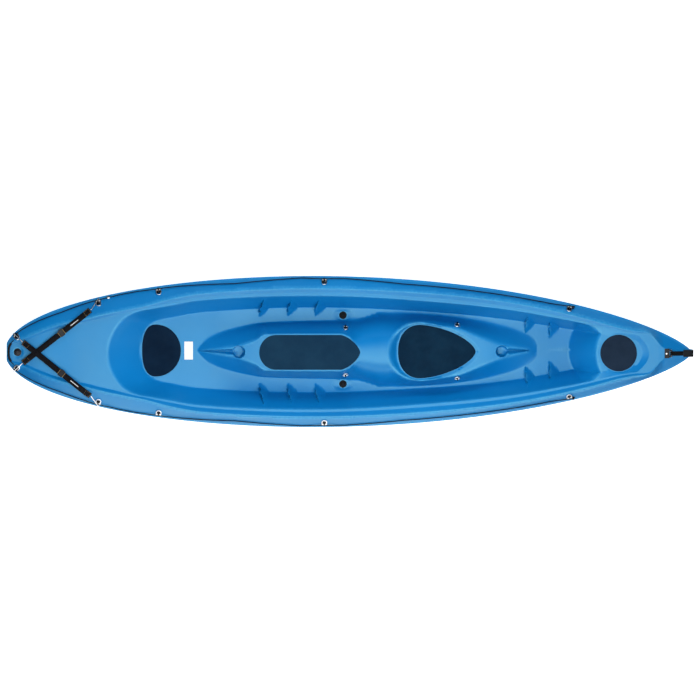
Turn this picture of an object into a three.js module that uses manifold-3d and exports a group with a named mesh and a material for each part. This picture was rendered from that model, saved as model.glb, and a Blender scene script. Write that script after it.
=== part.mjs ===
// A two-person sit-on-top kayak. A moulded deck shell and a moulded hull shell meet at the gunwale
// seam round blocks of buoyancy foam. Seat pads, scupper tubes and plugs, a screwed drain plug, pad
// eyes, perimeter ropes, crossed cargo straps and two carry handles are fixed to the deck.
// Millimetres, +X to the bow, +Y to port, +Z up. The origin is on the ground under the middle.
import * as THREE from "three";
import { mergeVertices } from "three/addons/utils/BufferGeometryUtils.js";
import Module from "manifold-3d";

const wasm = await Module();
wasm.setup();

// ---- Driving dimensions ----
const LENGTH = 3900;
const STERN_X = -LENGTH / 2;
const BOW_X = LENGTH / 2 - 8;
const HALF_BEAM = 431;
const BEAM_X = -200;
const STERN_RUN = 1761;
const TIP_HALF = 20;
const BOW_TAPER = [1.95, 0.7];
const STERN_TAPER = [2.05, 0.5];
const WALL = 5;
const RIM = 6;
const FLANGE = 12;
const GAP = 0.3;
const SEAM_GAP = 0.6;
const SHAVE = 0.25;

// Heights and widths along the boat, as [x, value].
const SEAM_Z = [[-1950, 236], [-1500, 236], [-900, 228], [-200, 222], [600, 226], [1300, 246], [1942, 292]];
const CREST_Z = [[-1950, 262], [-1750, 300], [-1400, 322], [-900, 304], [-200, 290], [500, 292],
  [1200, 316], [1650, 338], [1800, 336], [1942, 322]];
const SLOPE_WIDTH = [[-1950, 20], [-1840, 75], [-1660, 88], [-1470, 101], [-1190, 98], [-1020, 78],
  [-850, 66], [200, 66], [1000, 57], [1500, 60], [1600, 50], [1697, 28], [1784, 78], [1860, 62], [1942, 14]];
const BEVEL_WIDTH = [[-1950, 10], [-1800, 30], [-1350, 30], [-1190, 20], [-1000, 34], [0, 40], [500, 44],
  [1100, 38], [1400, 28], [1600, 20], [1942, 8]];
const BEVEL_DROP = [[-1950, 4], [-1800, 16], [-1400, 18], [-1200, 10], [-900, 16], [1200, 16], [1500, 12],
  [1690, 4], [1750, 0]];
const FLOOR_Z = [[-1150, 165], [-950, 162], [-600, 128], [-300, 112], [300, 112], [970, 136], [1250, 104]];
const HUMP_BASE = [[-872, 4], [-796, 72], [-653, 122], [-455, 156], [-150, 164], [30, 168], [100, 184],
  [173, 203], [310, 205], [480, 197], [660, 176], [840, 140], [993, 92], [1055, 50], [1078, 4]];
const HUMP_TOP = [[-872, 1], [-653, 34], [-540, 70], [-480, 104], [-60, 108], [60, 60], [150, 22],
  [240, 110], [420, 158], [600, 138], [760, 80], [860, 44], [1000, 16], [1078, 1]];
const HUMP_Z = [[-880, 150], [-796, 196], [-653, 244], [-540, 268], [-480, 274], [60, 274], [213, 268],
  [400, 258], [620, 246], [740, 236], [860, 212], [993, 164], [1078, 121]];
const WALL_WIDTH = [[-1200, 86], [0, 86], [600, 80], [1250, 70], [1400, 40], [1700, 34]];

// Cockpit ends, bow step and the flat levels.
const SEAT_BACK = { x: -1377, sweep: 114, at: 221, run: 186 };
const BOW_RIM = { x: 1699, bend: 0.0062, run: 40 };
const BOW_STEP = { foot: 1240, top: 1398, bend: 32, at: 110, hook: 25, cut: 60, past: 70, least: 60 };
const BOW_DECK_Z = 312;
const KEEL_FLAT = [-700, 700];
const SLOPE_ROUND = 1.3;
const TUNNEL = { at: 0.38, half: 0.16, high: 12 };

// Rounding of moulded corners, as a share of the wall's width.
const ROUND = { bevel: 0.15, wall: 0.12, hump: 0.3, seatBack: 0.35, bowRim: 0.3 };
const BOW_RISE = 280;
const STERN_RISE = 190;

// Pads: two half superellipses that meet at x, or run straight from x to x2 on a long pad.
// n is each half's exponent, z the pad's underside and lip the width of the well's wall, aft and elsewhere.
const PADS = {
  rear_seat_pad: {
    x: -1102, aft: 78, fore: 142, half: 148, nAft: 2.4, nFore: 2, z: 163, lip: [5, 5],
  },
  centre_seat_pad: {
    x: -420, x2: -54, aft: 95, fore: 112, half: 99, nAft: 2, nFore: 1.5, z: 272, lip: [22, 6],
  },
  front_seat_pad: {
    x: 398, aft: 125, fore: 315, half: 152, nAft: 2.2, nFore: 1.6, z: 226, lip: [60, 14],
  },
  bow_deck_pad: {
    x: 1525, aft: 104, fore: 104, half: 104, nAft: 2, nFore: 2, z: BOW_DECK_Z - 2, lip: [6, 6],
  },
};
const PAD_THICK = 5;
const PAD_MARGIN = 4;

// Moulded details.
const CUPS = [
  { x: -632, r: 37, tip: -866, half: 18, depth: 40 },
  { x: 862, r: 34, tip: 1016, half: 15, depth: 36 },
];
const CUP_FLAT = 18;
const CUP_FOOT = 1.14;
const RIBS = [
  { x: -513, reach: 51, back: 57 },
  { x: -353, reach: 51, back: 64 },
  { x: -197, reach: 51, back: 70 },
  { x: 994, reach: 70, back: 60 },
  { x: 1130, reach: 70, back: 60 },
];
const SCUPPER = { x: -40, y: 196, r: 20, bore: 15, seat: 25.5, long: 57, wide: 31, depth: 8 };
const DRAIN = { x: -1887, r: 30, foot: 1.15, depth: 3 };

// ---- Small helpers ----
const clamp = (v, low, high) => Math.min(Math.max(v, low), high);
const mix = (a, b, t) => a + (b - a) * t;

// Monotone smooth curve through [x, value] points.
function curve(points) {
  const rate = points.slice(1).map((p, i) => (p[1] - points[i][1]) / (p[0] - points[i][0]));
  const slope = points.map((p, i) => {
    const before = rate[i - 1] ?? rate[0];
    const after = rate[i] ?? rate[i - 1];
    return before * after > 0 ? (2 * before * after) / (before + after) : 0;
  });
  return (x) => {
    const at = clamp(x, points[0][0], points[points.length - 1][0]);
    const i = Math.max(points.findIndex((p) => p[0] >= at), 1);
    const span = points[i][0] - points[i - 1][0];
    const t = (at - points[i - 1][0]) / span;
    const s = t * t * (3 - 2 * t);
    const pull = t * (1 - t) * (1 - t) * slope[i - 1] - t * t * (1 - t) * slope[i];
    return mix(points[i - 1][1], points[i][1], s) + span * pull;
  };
}

// 0 to 1 ramp between t = 0 and t = 1, with both corners rounded over +-r.
function ramp(t, r) {
  const soft = (v) => (v < -1 ? 0 : v > 1 ? v : ((v + 1) * (v + 1)) / 4);
  return r * (soft(t / r) - soft((t - 1) / r));
}

// Smaller of two values, rounded where they cross.
function softMin(a, b, r) {
  const h = clamp(0.5 + (b - a) / (2 * r), 0, 1);
  return mix(b, a, h) - r * h * (1 - h);
}

const seamZ = curve(SEAM_Z);
const crestZ = curve(CREST_Z);
const slopeWidth = curve(SLOPE_WIDTH);
const bevelWidth = curve(BEVEL_WIDTH);
const bevelDrop = curve(BEVEL_DROP);
const floorZ = curve(FLOOR_Z);
const humpBase = curve(HUMP_BASE);
const humpTop = curve(HUMP_TOP);
const humpZ = curve(HUMP_Z);
const wallWidth = curve(WALL_WIDTH);

function halfBeam(x) {
  const ahead = x > BEAM_X;
  const run = ahead ? (x - BEAM_X) / (BOW_X - BEAM_X) : (BEAM_X - x) / STERN_RUN;
  const [p, q] = ahead ? BOW_TAPER : STERN_TAPER;
  return Math.max(HALF_BEAM * (1 - Math.min(run, 1) ** p) ** q, TIP_HALF);
}

const crestHalf = (x) => Math.max(halfBeam(x) - slopeWidth(x), 5);
const coamingHalf = (x) => Math.max(crestHalf(x) - bevelWidth(x), 3);

// Distance measure of a pad outline grown by aft, fore and side: under 1 inside, over 1 outside.
function padReach(pad, x, u, [aft, fore, side]) {
  const behind = x < pad.x;
  const ahead = Math.max(x - (pad.x2 ?? pad.x), 0) / (pad.fore + fore);
  const along = behind ? (pad.x - x) / (pad.aft + aft) : ahead;
  const n = behind ? pad.nAft : pad.nFore;
  return (along ** n + (u / (pad.half + side)) ** n) ** (1 / n);
}

// Lowers z to a flat level inside an outline, with a wall between the outline and its wider lip.
function sink(z, level, inner, outer) {
  if (outer >= 1) return z;
  if (inner <= 1) return Math.min(z, level);
  const t = (1 - outer) / (1 - outer + inner - 1);
  return Math.min(z, mix(z, level, t * t * (3 - 2 * t)));
}

// Height that the floor, hump, wells and bow deck have inside the coaming.
function insideHeight(x, u) {
  const step = BOW_STEP;
  const foot = step.foot + step.bend * (u / step.at) ** 2;
  const hook = step.hook * Math.min((u / step.at) ** 2, 1);
  const edge = step.top + hook - step.cut * clamp((u - step.at) / step.past, 0, 1);
  const top = Math.max(edge, foot + step.least);
  let z = mix(floorZ(x), BOW_DECK_Z, ramp((x - foot) / (top - foot), ROUND.wall));
  const base = humpBase(x);
  const crown = Math.min(humpTop(x), base - 2);
  z += Math.max(humpZ(x) - z, 0) * ramp((base - u) / (base - crown), ROUND.hump);
  for (const pad of Object.values(PADS)) {
    const [aft, rest] = pad.lip.map((wide) => wide + PAD_MARGIN);
    const foot = padReach(pad, x, u, [PAD_MARGIN, PAD_MARGIN, PAD_MARGIN]);
    z = sink(z, pad.z, foot, padReach(pad, x, u, [aft, rest, rest]));
  }
  for (const cup of CUPS) {
    const level = humpZ(cup.x) - cup.depth;
    const far = Math.hypot(x - cup.x, u) / cup.r;
    z = sink(z, level, far * CUP_FOOT, far);
    const run = (x - cup.x) / (cup.tip - cup.x);
    if (run > 0 && run < 1) {
      const wide = cup.half * (1 - run);
      if (u < wide) z = Math.min(z, mix(mix(level, floorZ(cup.tip), run), z, (u / wide) ** 2));
    }
  }
  const oval = Math.hypot((x - SCUPPER.x) / SCUPPER.long, (u - SCUPPER.y) / SCUPPER.wide);
  const seat = Math.hypot(x - SCUPPER.x, u - SCUPPER.y) / SCUPPER.seat;
  return sink(z, floorZ(SCUPPER.x) - SCUPPER.depth, seat, oval);
}

// Height of the deck's top face at any point of the plan.
function deckHeight(x, y) {
  const u = Math.abs(y);
  const beam = halfBeam(x);
  const crest = crestHalf(x);
  const low = seamZ(x) + RIM;
  const high = crestZ(x);
  if (u >= crest) {
    const v = clamp((beam - u) / (beam - crest), 0, 1);
    return low + (high - low) * (1 - (1 - v) ** SLOPE_ROUND);
  }
  const panel = high - bevelDrop(x) * ramp((crest - u) / bevelWidth(x), ROUND.bevel);
  const rear = SEAT_BACK.x + SEAT_BACK.sweep * (u / SEAT_BACK.at) ** 2;
  const sides = (coamingHalf(x) - u) / wallWidth(x);
  const aft = (x - rear) / SEAT_BACK.run;
  const fore = (BOW_RIM.x - BOW_RIM.bend * u * u - x) / BOW_RIM.run;
  const inside = softMin(softMin(sides, aft, ROUND.seatBack), fore, ROUND.bowRim);
  const depth = inside < -ROUND.bowRim ? 0 : Math.max(panel - insideHeight(x, u), 0);
  return sinkDrain(panel - depth * ramp(inside, ROUND.wall), x, u);
}

// Flat round sinking that the drain sits in.
const drainTop = crestZ(DRAIN.x) - bevelDrop(DRAIN.x) - DRAIN.depth;

function sinkDrain(z, x, u) {
  const far = Math.hypot(x - DRAIN.x, u) / DRAIN.r;
  return sink(z, drainTop, far * DRAIN.foot, far);
}

// Height of the hull's outer face: a flat keel strip, two shallow tunnels, round bilges, rocker.
function hullHeight(x, y) {
  const ahead = Math.max(x - KEEL_FLAT[1], 0) / (BOW_X - KEEL_FLAT[1]);
  const astern = Math.max(KEEL_FLAT[0] - x, 0) / (KEEL_FLAT[0] - STERN_X);
  const keel = BOW_RISE * ahead ** 3 + STERN_RISE * astern ** 3;
  const fine = Math.max(ahead, astern * 0.6) ** 1.5;
  const share = clamp(Math.abs(y) / halfBeam(x), 0, 1);
  const flat = mix(0.2, 0.04, fine);
  const out = clamp((share - flat) / (1 - flat), 0, 1);
  const across = clamp((share - TUNNEL.at) / TUNNEL.half, -1, 1);
  const tunnel = TUNNEL.high * Math.cos((Math.PI / 2) * across) ** 2 * (1 - fine);
  const rail = seamZ(x) - RIM;
  return keel + (rail - keel) * out ** mix(3.4, 1.25, fine) + tunnel;
}

// ---- Mesh making ----
// Closed solid through rings of points, all of the same count, with flat ends.
function loft(rings) {
  const n = rings[0].length;
  const index = [];
  for (let i = 0; i + 1 < rings.length; i += 1) {
    for (let j = 0; j < n; j += 1) {
      const a = i * n + j;
      const b = i * n + ((j + 1) % n);
      index.push(a, b, a + n, b, b + n, a + n);
    }
  }
  const capFaces = (ring, first, flip) => {
    const normal = new THREE.Vector3();
    ring.forEach((p, j) => normal.add(new THREE.Vector3().crossVectors(p, ring[(j + 1) % n])));
    const side = new THREE.Vector3(0, 0, 1);
    if (Math.abs(normal.z) > Math.abs(normal.x)) side.set(1, 0, 0);
    const across = new THREE.Vector3().crossVectors(side, normal).normalize();
    const up = new THREE.Vector3().crossVectors(normal, across).normalize();
    const flat = ring.map((p) => new THREE.Vector2(p.dot(across), p.dot(up)));
    for (const [a, b, c] of THREE.ShapeUtils.triangulateShape(flat, [])) {
      if (flip) index.push(first + a, first + c, first + b);
      else index.push(first + a, first + b, first + c);
    }
  };
  capFaces(rings[0], 0, true);
  capFaces(rings[rings.length - 1], (rings.length - 1) * n, false);
  const geometry = new THREE.BufferGeometry().setFromPoints(rings.flat());
  geometry.setIndex(index);
  return geometry;
}

function solidOf(geometry) {
  const plain = geometry.clone();
  plain.deleteAttribute("normal");
  plain.deleteAttribute("uv");
  const merged = mergeVertices(plain, 1e-3);
  const triVerts = new Uint32Array(merged.index.array);
  const vertProperties = new Float32Array(merged.attributes.position.array);
  return new wasm.Manifold(new wasm.Mesh({ numProp: 3, vertProperties, triVerts }));
}

function geometryOf(solid) {
  const mesh = solid.getMesh();
  const geometry = new THREE.BufferGeometry();
  geometry.setAttribute("position", new THREE.BufferAttribute(new Float32Array(mesh.vertProperties), 3));
  geometry.setIndex(new THREE.BufferAttribute(new Uint32Array(mesh.triVerts), 1));
  return geometry;
}

const moved = (geometry, x, y, z) => geometry.clone().translate(x, y, z);

// A turned piece about +Z from [radius, height] points, closed on itself or on the axis.
function turned(profile, sides = 16) {
  const points = profile.map(([r, z]) => new THREE.Vector2(r, z));
  return new THREE.LatheGeometry(points, sides).rotateX(Math.PI / 2);
}

// ---- Shells ----
const sorted = (list) => [...list].sort((a, b) => a - b);

// Stations from stern to bow: even, but close together at the blunt stern and round each place in near.
function stations(count, near = []) {
  const start = STERN_X + 50;
  const even = Array.from({ length: count + 1 }, (_, i) => mix(start, BOW_X - 14, i / count));
  const clear = even.filter((x) => near.every((place) => Math.abs(x - place.x) > place.r + 12));
  const extra = near.flatMap((place) => [-1.04, -0.68, 0.68, 1.04].map((t) => place.x + t * place.r));
  return sorted([STERN_X, STERN_X + 6, STERN_X + 22, ...clear, ...extra, BOW_X]);
}

// Half-widths where the deck's section changes direction, from the middle out to the seam.
function deckColumns(x) {
  const beam = halfBeam(x);
  const crest = crestHalf(x);
  const coaming = coamingHalf(x);
  const foot = Math.max(coaming - wallWidth(x), 0.6 * coaming);
  const base = clamp(humpBase(x), 0.5 * foot, 0.94 * foot);
  const crown = clamp(humpTop(x), 0.3 * base, 0.85 * base);
  const slope = [0.5, 1].map((t) => mix(crest, beam, t));
  const hump = [Math.min(crown / 2, CUP_FLAT), crown, mix(crown, base, 0.5), base];
  return [0, ...hump, foot, mix(foot, coaming, 0.5), coaming, crest, ...slope];
}

// Both sides of a list of half-widths, from port to starboard.
const bothSides = (half) => [...half.slice(1).reverse(), ...half.map((u) => -u)];

// Vertical thickness that gives a wall of even thickness on a sloping face.
function wallDrop(height, x, y) {
  const step = 4;
  const sx = (height(x + step, y) - height(x - step, y)) / (2 * step);
  const sy = (height(x, y + step) - height(x, y - step)) / (2 * step);
  return WALL * Math.min(Math.hypot(1, sx, sy), 2.2);
}

function deckRing(x) {
  const beam = halfBeam(x);
  const inner = beam - FLANGE;
  const columns = deckColumns(x);
  const top = bothSides(columns).map((y) => [y, deckHeight(x, y)]);
  const seam = seamZ(x) + GAP / 2;
  const under = [columns[0], columns[2], columns[4], columns[5], columns[8]];
  const scale = inner / beam;
  const below = bothSides(under)
    .map((y) => [y * scale, deckHeight(x, y * scale) - wallDrop(deckHeight, x, y * scale)])
    .reverse();
  const rim = [[-beam, seam], [-inner, seam], ...below, [inner, seam], [beam, seam]];
  return [...top, ...rim].map(([y, z]) => new THREE.Vector3(x, y, z));
}

function hullRing(x) {
  const beam = halfBeam(x);
  const inner = beam - FLANGE;
  const seam = seamZ(x) - SEAM_GAP;
  const shares = [0, 0.18, 0.34, 0.5, 0.66, 0.82, 0.93, 1];
  const outer = bothSides(shares).map((t) => [t * beam, hullHeight(x, t * beam)]);
  const lining = bothSides(shares.slice(0, -1))
    .map((t) => [t * inner, hullHeight(x, t * inner) + wallDrop(hullHeight, x, t * inner)])
    .map(([y, z]) => [y, Math.min(z, seam - 1)])
    .reverse();
  const rim = [[-beam, seam], [-inner, seam], ...lining, [inner, seam], [beam, seam]];
  return [...outer, ...rim].reverse().map(([y, z]) => new THREE.Vector3(x, y, z));
}

const cylinder = (r, low, high, x, y, sides = 24) =>
  moved(new THREE.CylinderGeometry(r, r, high - low, sides).rotateX(Math.PI / 2), x, y, (low + high) / 2);

// Outline of a pad, grown outwards by some distance.
function padShape(pad, grow = 0) {
  const points = [];
  const quarter = (cx, reach, n, start, end) => {
    for (let i = 0; i <= 10; i += 1) {
      const angle = mix(start, end, i / 10);
      const c = Math.cos(angle);
      const s = Math.sin(angle);
      const along = Math.sign(c) * Math.abs(c) ** (2 / n) * (reach + grow);
      points.push(new THREE.Vector2(cx + along, Math.sign(s) * Math.abs(s) ** (2 / n) * (pad.half + grow)));
    }
  };
  quarter(pad.x2 ?? pad.x, pad.fore, pad.nFore, -Math.PI / 2, Math.PI / 2);
  quarter(pad.x, pad.aft, pad.nAft, Math.PI / 2, (3 * Math.PI) / 2);
  return new THREE.Shape(points.filter((p, i) => i === 0 || p.distanceTo(points[i - 1]) > 0.5));
}

const slab = (shape, low, high) =>
  new THREE.ExtrudeGeometry(shape, { depth: high - low, bevelEnabled: false }).translate(0, 0, low);

const group = new THREE.Group();

function addPiece(name, geometry, [color, roughness, metalness = 0]) {
  const material = new THREE.MeshStandardMaterial({ color, roughness, metalness });
  const mesh = new THREE.Mesh(geometry, material);
  mesh.name = name;
  group.add(mesh);
  return mesh;
}

const HULL_BLUE = [0x0077c0, 0.35];
const PAD_NAVY = [0x14304a, 0.85];
const BLACK_PLASTIC = [0x101214, 0.4];
const WEBBING = [0x0c0d10, 0.8];
const ROPE = [0x16202c, 0.75];
const FOAM = [0xe8e8e2, 0.9];
const RUBBER = [0x131313, 0.7];
const STEEL = [0xc4c8cc, 0.25, 1];

let deck = solidOf(loft(stations(54, CUPS).map(deckRing)));
let hull = solidOf(loft(stations(30).map(hullRing)));
for (const pad of Object.values(PADS)) {
  deck = deck.add(solidOf(slab(padShape(pad, 4.5), pad.z - WALL, pad.z - 0.7)));
  deck = deck.subtract(solidOf(slab(padShape(pad, 1), pad.z - SHAVE, pad.z + 60)));
}
const scupperTop = floorZ(SCUPPER.x) - SCUPPER.depth;
const scupperBottom = hullHeight(SCUPPER.x, SCUPPER.y);

// Flat round seat of radius r at height z on the deck, with a hole through it.
function roundSeat(x, y, z, r, hole) {
  deck = deck.add(solidOf(cylinder(r + 3, z - WALL, z + 12, x, y)));
  deck = deck.subtract(solidOf(cylinder(r, z - SHAVE, z + 40, x, y)));
  deck = deck.subtract(solidOf(cylinder(hole, z - 60, z + 40, x, y)));
}
roundSeat(DRAIN.x, 0, drainTop, 24, 16);
for (const side of [1, -1]) {
  roundSeat(SCUPPER.x, side * SCUPPER.y, scupperTop, 25, SCUPPER.r + GAP);
  hull = hull.subtract(solidOf(cylinder(SCUPPER.r + GAP, -20, 60, SCUPPER.x, side * SCUPPER.y)));
}
// Foot brace: a wedge with an upright face aft that leans up the side wall.
function footBrace(rib, sign) {
  const floor = floorZ(rib.x);
  const foot = coamingHalf(rib.x) - wallWidth(rib.x);
  const rise = 0.8 * (deckHeight(rib.x, coamingHalf(rib.x)) - floor);
  const corners = [
    [rib.x, foot - rib.reach, floor - 3],
    [rib.x, foot + 14, floor - 3],
    [rib.x + rib.back, foot + 14, floor - 3],
    [rib.x + 26, foot + 0.8 * wallWidth(rib.x), floor + rise],
  ];
  const faces = sign > 0 ? [0, 1, 2, 0, 3, 1, 1, 3, 2, 2, 3, 0] : [0, 2, 1, 0, 1, 3, 1, 2, 3, 2, 0, 3];
  const points = corners.map(([x, y, z]) => new THREE.Vector3(x, sign * y, z));
  return new THREE.BufferGeometry().setFromPoints(points).setIndex(faces);
}
for (const rib of RIBS) {
  deck = deck.add(solidOf(footBrace(rib, 1)));
  deck = deck.add(solidOf(footBrace(rib, -1)));
}
addPiece("hull_shell", geometryOf(hull), HULL_BLUE);
addPiece("deck_shell", geometryOf(deck), HULL_BLUE);

// Cuts a fitting's underside to the deck, with a small gap.
const raisedDeck = deck.translate([0, 0, GAP]);
function seated(geometry) {
  const parts = solidOf(geometry).subtract(raisedDeck).decompose();
  return geometryOf(parts.sort((a, b) => b.volume() - a.volume())[0]);
}

// Raises a fitting along a direction until it is clear of the deck.
function settled(geometry, normal) {
  let solid = solidOf(geometry);
  const [x, y, z] = normal.clone().multiplyScalar(0.2).toArray();
  while (solid.intersect(deck).volume() > 1e-4) solid = solid.translate([x, y, z]);
  return geometryOf(solid.translate([x, y, z]));
}

// ---- Seat pads ----
for (const [name, pad] of Object.entries(PADS)) {
  addPiece(name, slab(padShape(pad), pad.z, pad.z + PAD_THICK), PAD_NAVY);
}

// ---- Buoyancy foam between the shells ----
const FOAM_BLOCKS = {
  foam_block_stern: { x: [-1700, -1440], half: 110, z: [150, 270] },
  foam_block_centre: { x: [-460, 30], half: 84, z: [30, 232] },
  foam_block_bow: { x: [1440, 1620], half: 70, z: [160, 285] },
};
for (const [name, { x, half, z }] of Object.entries(FOAM_BLOCKS)) {
  const block = new THREE.BoxGeometry(x[1] - x[0], 2 * half, z[1] - z[0]);
  addPiece(name, moved(block, (x[0] + x[1]) / 2, 0, (z[0] + z[1]) / 2), FOAM);
}

// ---- Scuppers: a tube between the shells and a plug in each ----
const TUBE = [[SCUPPER.bore, 0], [SCUPPER.r, 0], [SCUPPER.r, 1], [SCUPPER.bore, 1], [SCUPPER.bore, 0]];
const PLUG = [[0, -40], [11, -40], [13.5, 0], [21.5, 0], [21.5, 3], [17, 5], [9, 5], [9, 9], [6, 11],
  [0, 11]];
for (const [side, sign] of [["port", 1], ["starboard", -1]]) {
  const tube = TUBE.map(([r, t]) => [r, mix(scupperBottom, scupperTop - 0.5, t)]);
  addPiece(`scupper_tube_${side}`, moved(turned(tube), SCUPPER.x, sign * SCUPPER.y, 0), HULL_BLUE);
  const plug = moved(turned(PLUG), SCUPPER.x, sign * SCUPPER.y, scupperTop + GAP);
  addPiece(`scupper_plug_${side}`, plug, RUBBER);
}

// ---- Drain: threaded housing through the deck, sealing ring and screw plug ----
const HOUSING = [[9.5, -24], [15.5, -24], [15.5, GAP], [22, GAP], [22, 2.5], [9.5, 2.5], [9.5, -24]];
const SEAL = [[10.5, 2.8], [14, 2.8], [14, 4.8], [10.5, 4.8], [10.5, 2.8]];
const SCREW = [[0, -20], [7.5, -20], [9, -17], [9, 5.1], [14.5, 5.1], [14.5, 8], [13, 9.5], [0, 9.5]];
addPiece("drain_housing", moved(turned(HOUSING), DRAIN.x, 0, drainTop), BLACK_PLASTIC);
addPiece("drain_seal", moved(turned(SEAL), DRAIN.x, 0, drainTop), RUBBER);
addPiece("drain_plug", moved(turned(SCREW), DRAIN.x, 0, drainTop), BLACK_PLASTIC);

// ---- Pad eyes ----
const EYE = { long: 28, wide: 38, thick: 4, arch: 12, rise: 13, bar: 3, inset: 24 };

// Frame on the deck: X along a plan direction, Z along the deck's normal.
function onDeck(x, y, heading) {
  const step = 6;
  const sx = (deckHeight(x + step, y) - deckHeight(x - step, y)) / (2 * step);
  const sy = (deckHeight(x, y + step) - deckHeight(x, y - step)) / (2 * step);
  const normal = new THREE.Vector3(-sx, -sy, 1).normalize();
  const along = new THREE.Vector3(Math.cos(heading), Math.sin(heading), 0);
  along.addScaledVector(normal, -along.dot(normal)).normalize();
  const across = new THREE.Vector3().crossVectors(normal, along);
  const frame = new THREE.Matrix4().makeBasis(along, across, normal);
  return frame.setPosition(x, y, deckHeight(x, y));
}

function padEye() {
  const base = new THREE.Shape();
  const cap = (EYE.long - 4) / 2;
  base.absarc(0, EYE.wide / 2 - cap, cap, 0, Math.PI);
  base.absarc(0, cap - EYE.wide / 2, cap, Math.PI, 2 * Math.PI);
  const plate = new THREE.ExtrudeGeometry(base, { depth: EYE.thick, bevelEnabled: false, curveSegments: 4 });
  const arc = Array.from({ length: 7 }, (_, i) => {
    const angle = (Math.PI * i) / 6;
    return new THREE.Vector3(0, EYE.arch * Math.cos(angle), EYE.rise * Math.sin(angle));
  });
  const bar = new THREE.Shape().absarc(0, 0, EYE.bar, 0, 2 * Math.PI);
  const path = new THREE.CatmullRomCurve3(arc);
  const loop = new THREE.ExtrudeGeometry(bar, { steps: 6, curveSegments: 3, extrudePath: path });
  return geometryOf(solidOf(plate).add(solidOf(loop.translate(0, 0, 1))));
}

const eyeShape = padEye();

// Adds a pad eye standing on the deck, its opening facing along the heading.
function addEye(name, x, y, heading) {
  const frame = onDeck(x, y, heading);
  const normal = new THREE.Vector3().setFromMatrixColumn(frame, 2);
  addPiece(name, settled(eyeShape.clone().applyMatrix4(frame), normal), BLACK_PLASTIC);
}

const gunwaleY = (x) => halfBeam(x) - EYE.inset;
const gunwaleHeading = (x) => Math.atan2(halfBeam(x + 20) - halfBeam(x - 20), 40);
const GUNWALE_EYES = { stern: -1896, strap: -1430, rear: -1087, mid: -146, bow: 1246 };
const BACKREST_EYES = { rear: [-26, 135], front: [608, 152] };
for (const [side, sign] of [["port", 1], ["starboard", -1]]) {
  for (const [place, x] of Object.entries(GUNWALE_EYES)) {
    addEye(`pad_eye_${place}_${side}`, x, sign * gunwaleY(x), sign * gunwaleHeading(x));
  }
  for (const [place, [x, y]] of Object.entries(BACKREST_EYES)) {
    addEye(`backrest_eye_${place}_${side}`, x, sign * y, 0);
  }
}

// ---- Perimeter ropes: held by the pad eyes and lying on the gunwale in between ----
const ROPE_R = 2.6;
const ROPE_REST = 4.2;
const ROPE_IN_EYE = 7.6;

// Middle of a rope that lies along the gunwale and passes through each pad eye of one side, stern to bow.
function ropeRoute(sign) {
  const eyes = Object.values(GUNWALE_EYES);
  const start = [...eyes.slice(0, -1), eyes[eyes.length - 1] + 18];
  const route = [];
  start.forEach((x, i) => {
    if (i === 0) return;
    const from = start[i - 1];
    const count = Math.ceil((x - from) / 70);
    for (let k = i === 1 ? 0 : 1; k <= count; k += 1) {
      const at = mix(from, x, k / count);
      const y = gunwaleY(at);
      const near = Math.min(...eyes.map((eye) => Math.abs(eye - at)));
      const lift = mix(ROPE_IN_EYE, ROPE_REST, clamp((near - 20) / 60, 0, 1));
      const frame = onDeck(at, y, 0);
      const normal = new THREE.Vector3().setFromMatrixColumn(frame, 2);
      const point = new THREE.Vector3().setFromMatrixPosition(frame).addScaledVector(normal, lift);
      route.push(new THREE.Vector3(point.x, sign * point.y, point.z));
    }
  });
  return route;
}

// Round cord through a list of points.
function cordAlong(points, radius, steps, sides) {
  const section = new THREE.Shape();
  for (let i = 0; i < sides; i += 1) {
    const angle = (2 * Math.PI * i) / sides;
    if (i === 0) section.moveTo(radius, 0);
    else section.lineTo(radius * Math.cos(angle), radius * Math.sin(angle));
  }
  const path = new THREE.CatmullRomCurve3(points);
  return new THREE.ExtrudeGeometry(section, { steps, extrudePath: path });
}

for (const [side, sign] of [["port", 1], ["starboard", -1]]) {
  addPiece(`perimeter_rope_${side}`, cordAlong(ropeRoute(sign), ROPE_R, 64, 6), ROPE);
}

// Bead clamped on the port rope.
const BEAD = { x: -1371, r: 8, long: 16 };
const beadPath = new THREE.CatmullRomCurve3(ropeRoute(1));
const beadShare = Array.from({ length: 400 }, (_, i) => i / 400).find((t) => beadPath.getPoint(t).x > BEAD.x);
const beadHalf = BEAD.long / 2;
const BEAD_PROFILE = [[ROPE_R + 1, -beadHalf], [BEAD.r - 2, -beadHalf], [BEAD.r, 0], [BEAD.r - 2, beadHalf],
  [ROPE_R + 1, beadHalf], [ROPE_R + 1, -beadHalf]];
const bead = turned(BEAD_PROFILE, 12).applyQuaternion(
  new THREE.Quaternion().setFromUnitVectors(new THREE.Vector3(0, 0, 1), beadPath.getTangent(beadShare)),
);
addPiece("rope_bead_port", seated(moved(bead, ...beadPath.getPoint(beadShare).toArray())), BLACK_PLASTIC);

// ---- Cargo straps: flat webbing pulled straight over the stern deck, one across the other ----
const STRAP = { aft: [-1857, 60], fore: [-1475, 245], wide: 33, thick: 2.2, clear: 3 };
const strapRun = [STRAP.fore[0] - STRAP.aft[0], STRAP.fore[1] + STRAP.aft[1]];
const strapLength = Math.hypot(...strapRun);
const strapAlong = strapRun.map((v) => v / strapLength);

// Plan point at a distance along a strap whose fore end is on the given side.
const strapPoint = (s, sign) => [STRAP.aft[0] + s * strapAlong[0], sign * (s * strapAlong[1] - STRAP.aft[1])];

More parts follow.
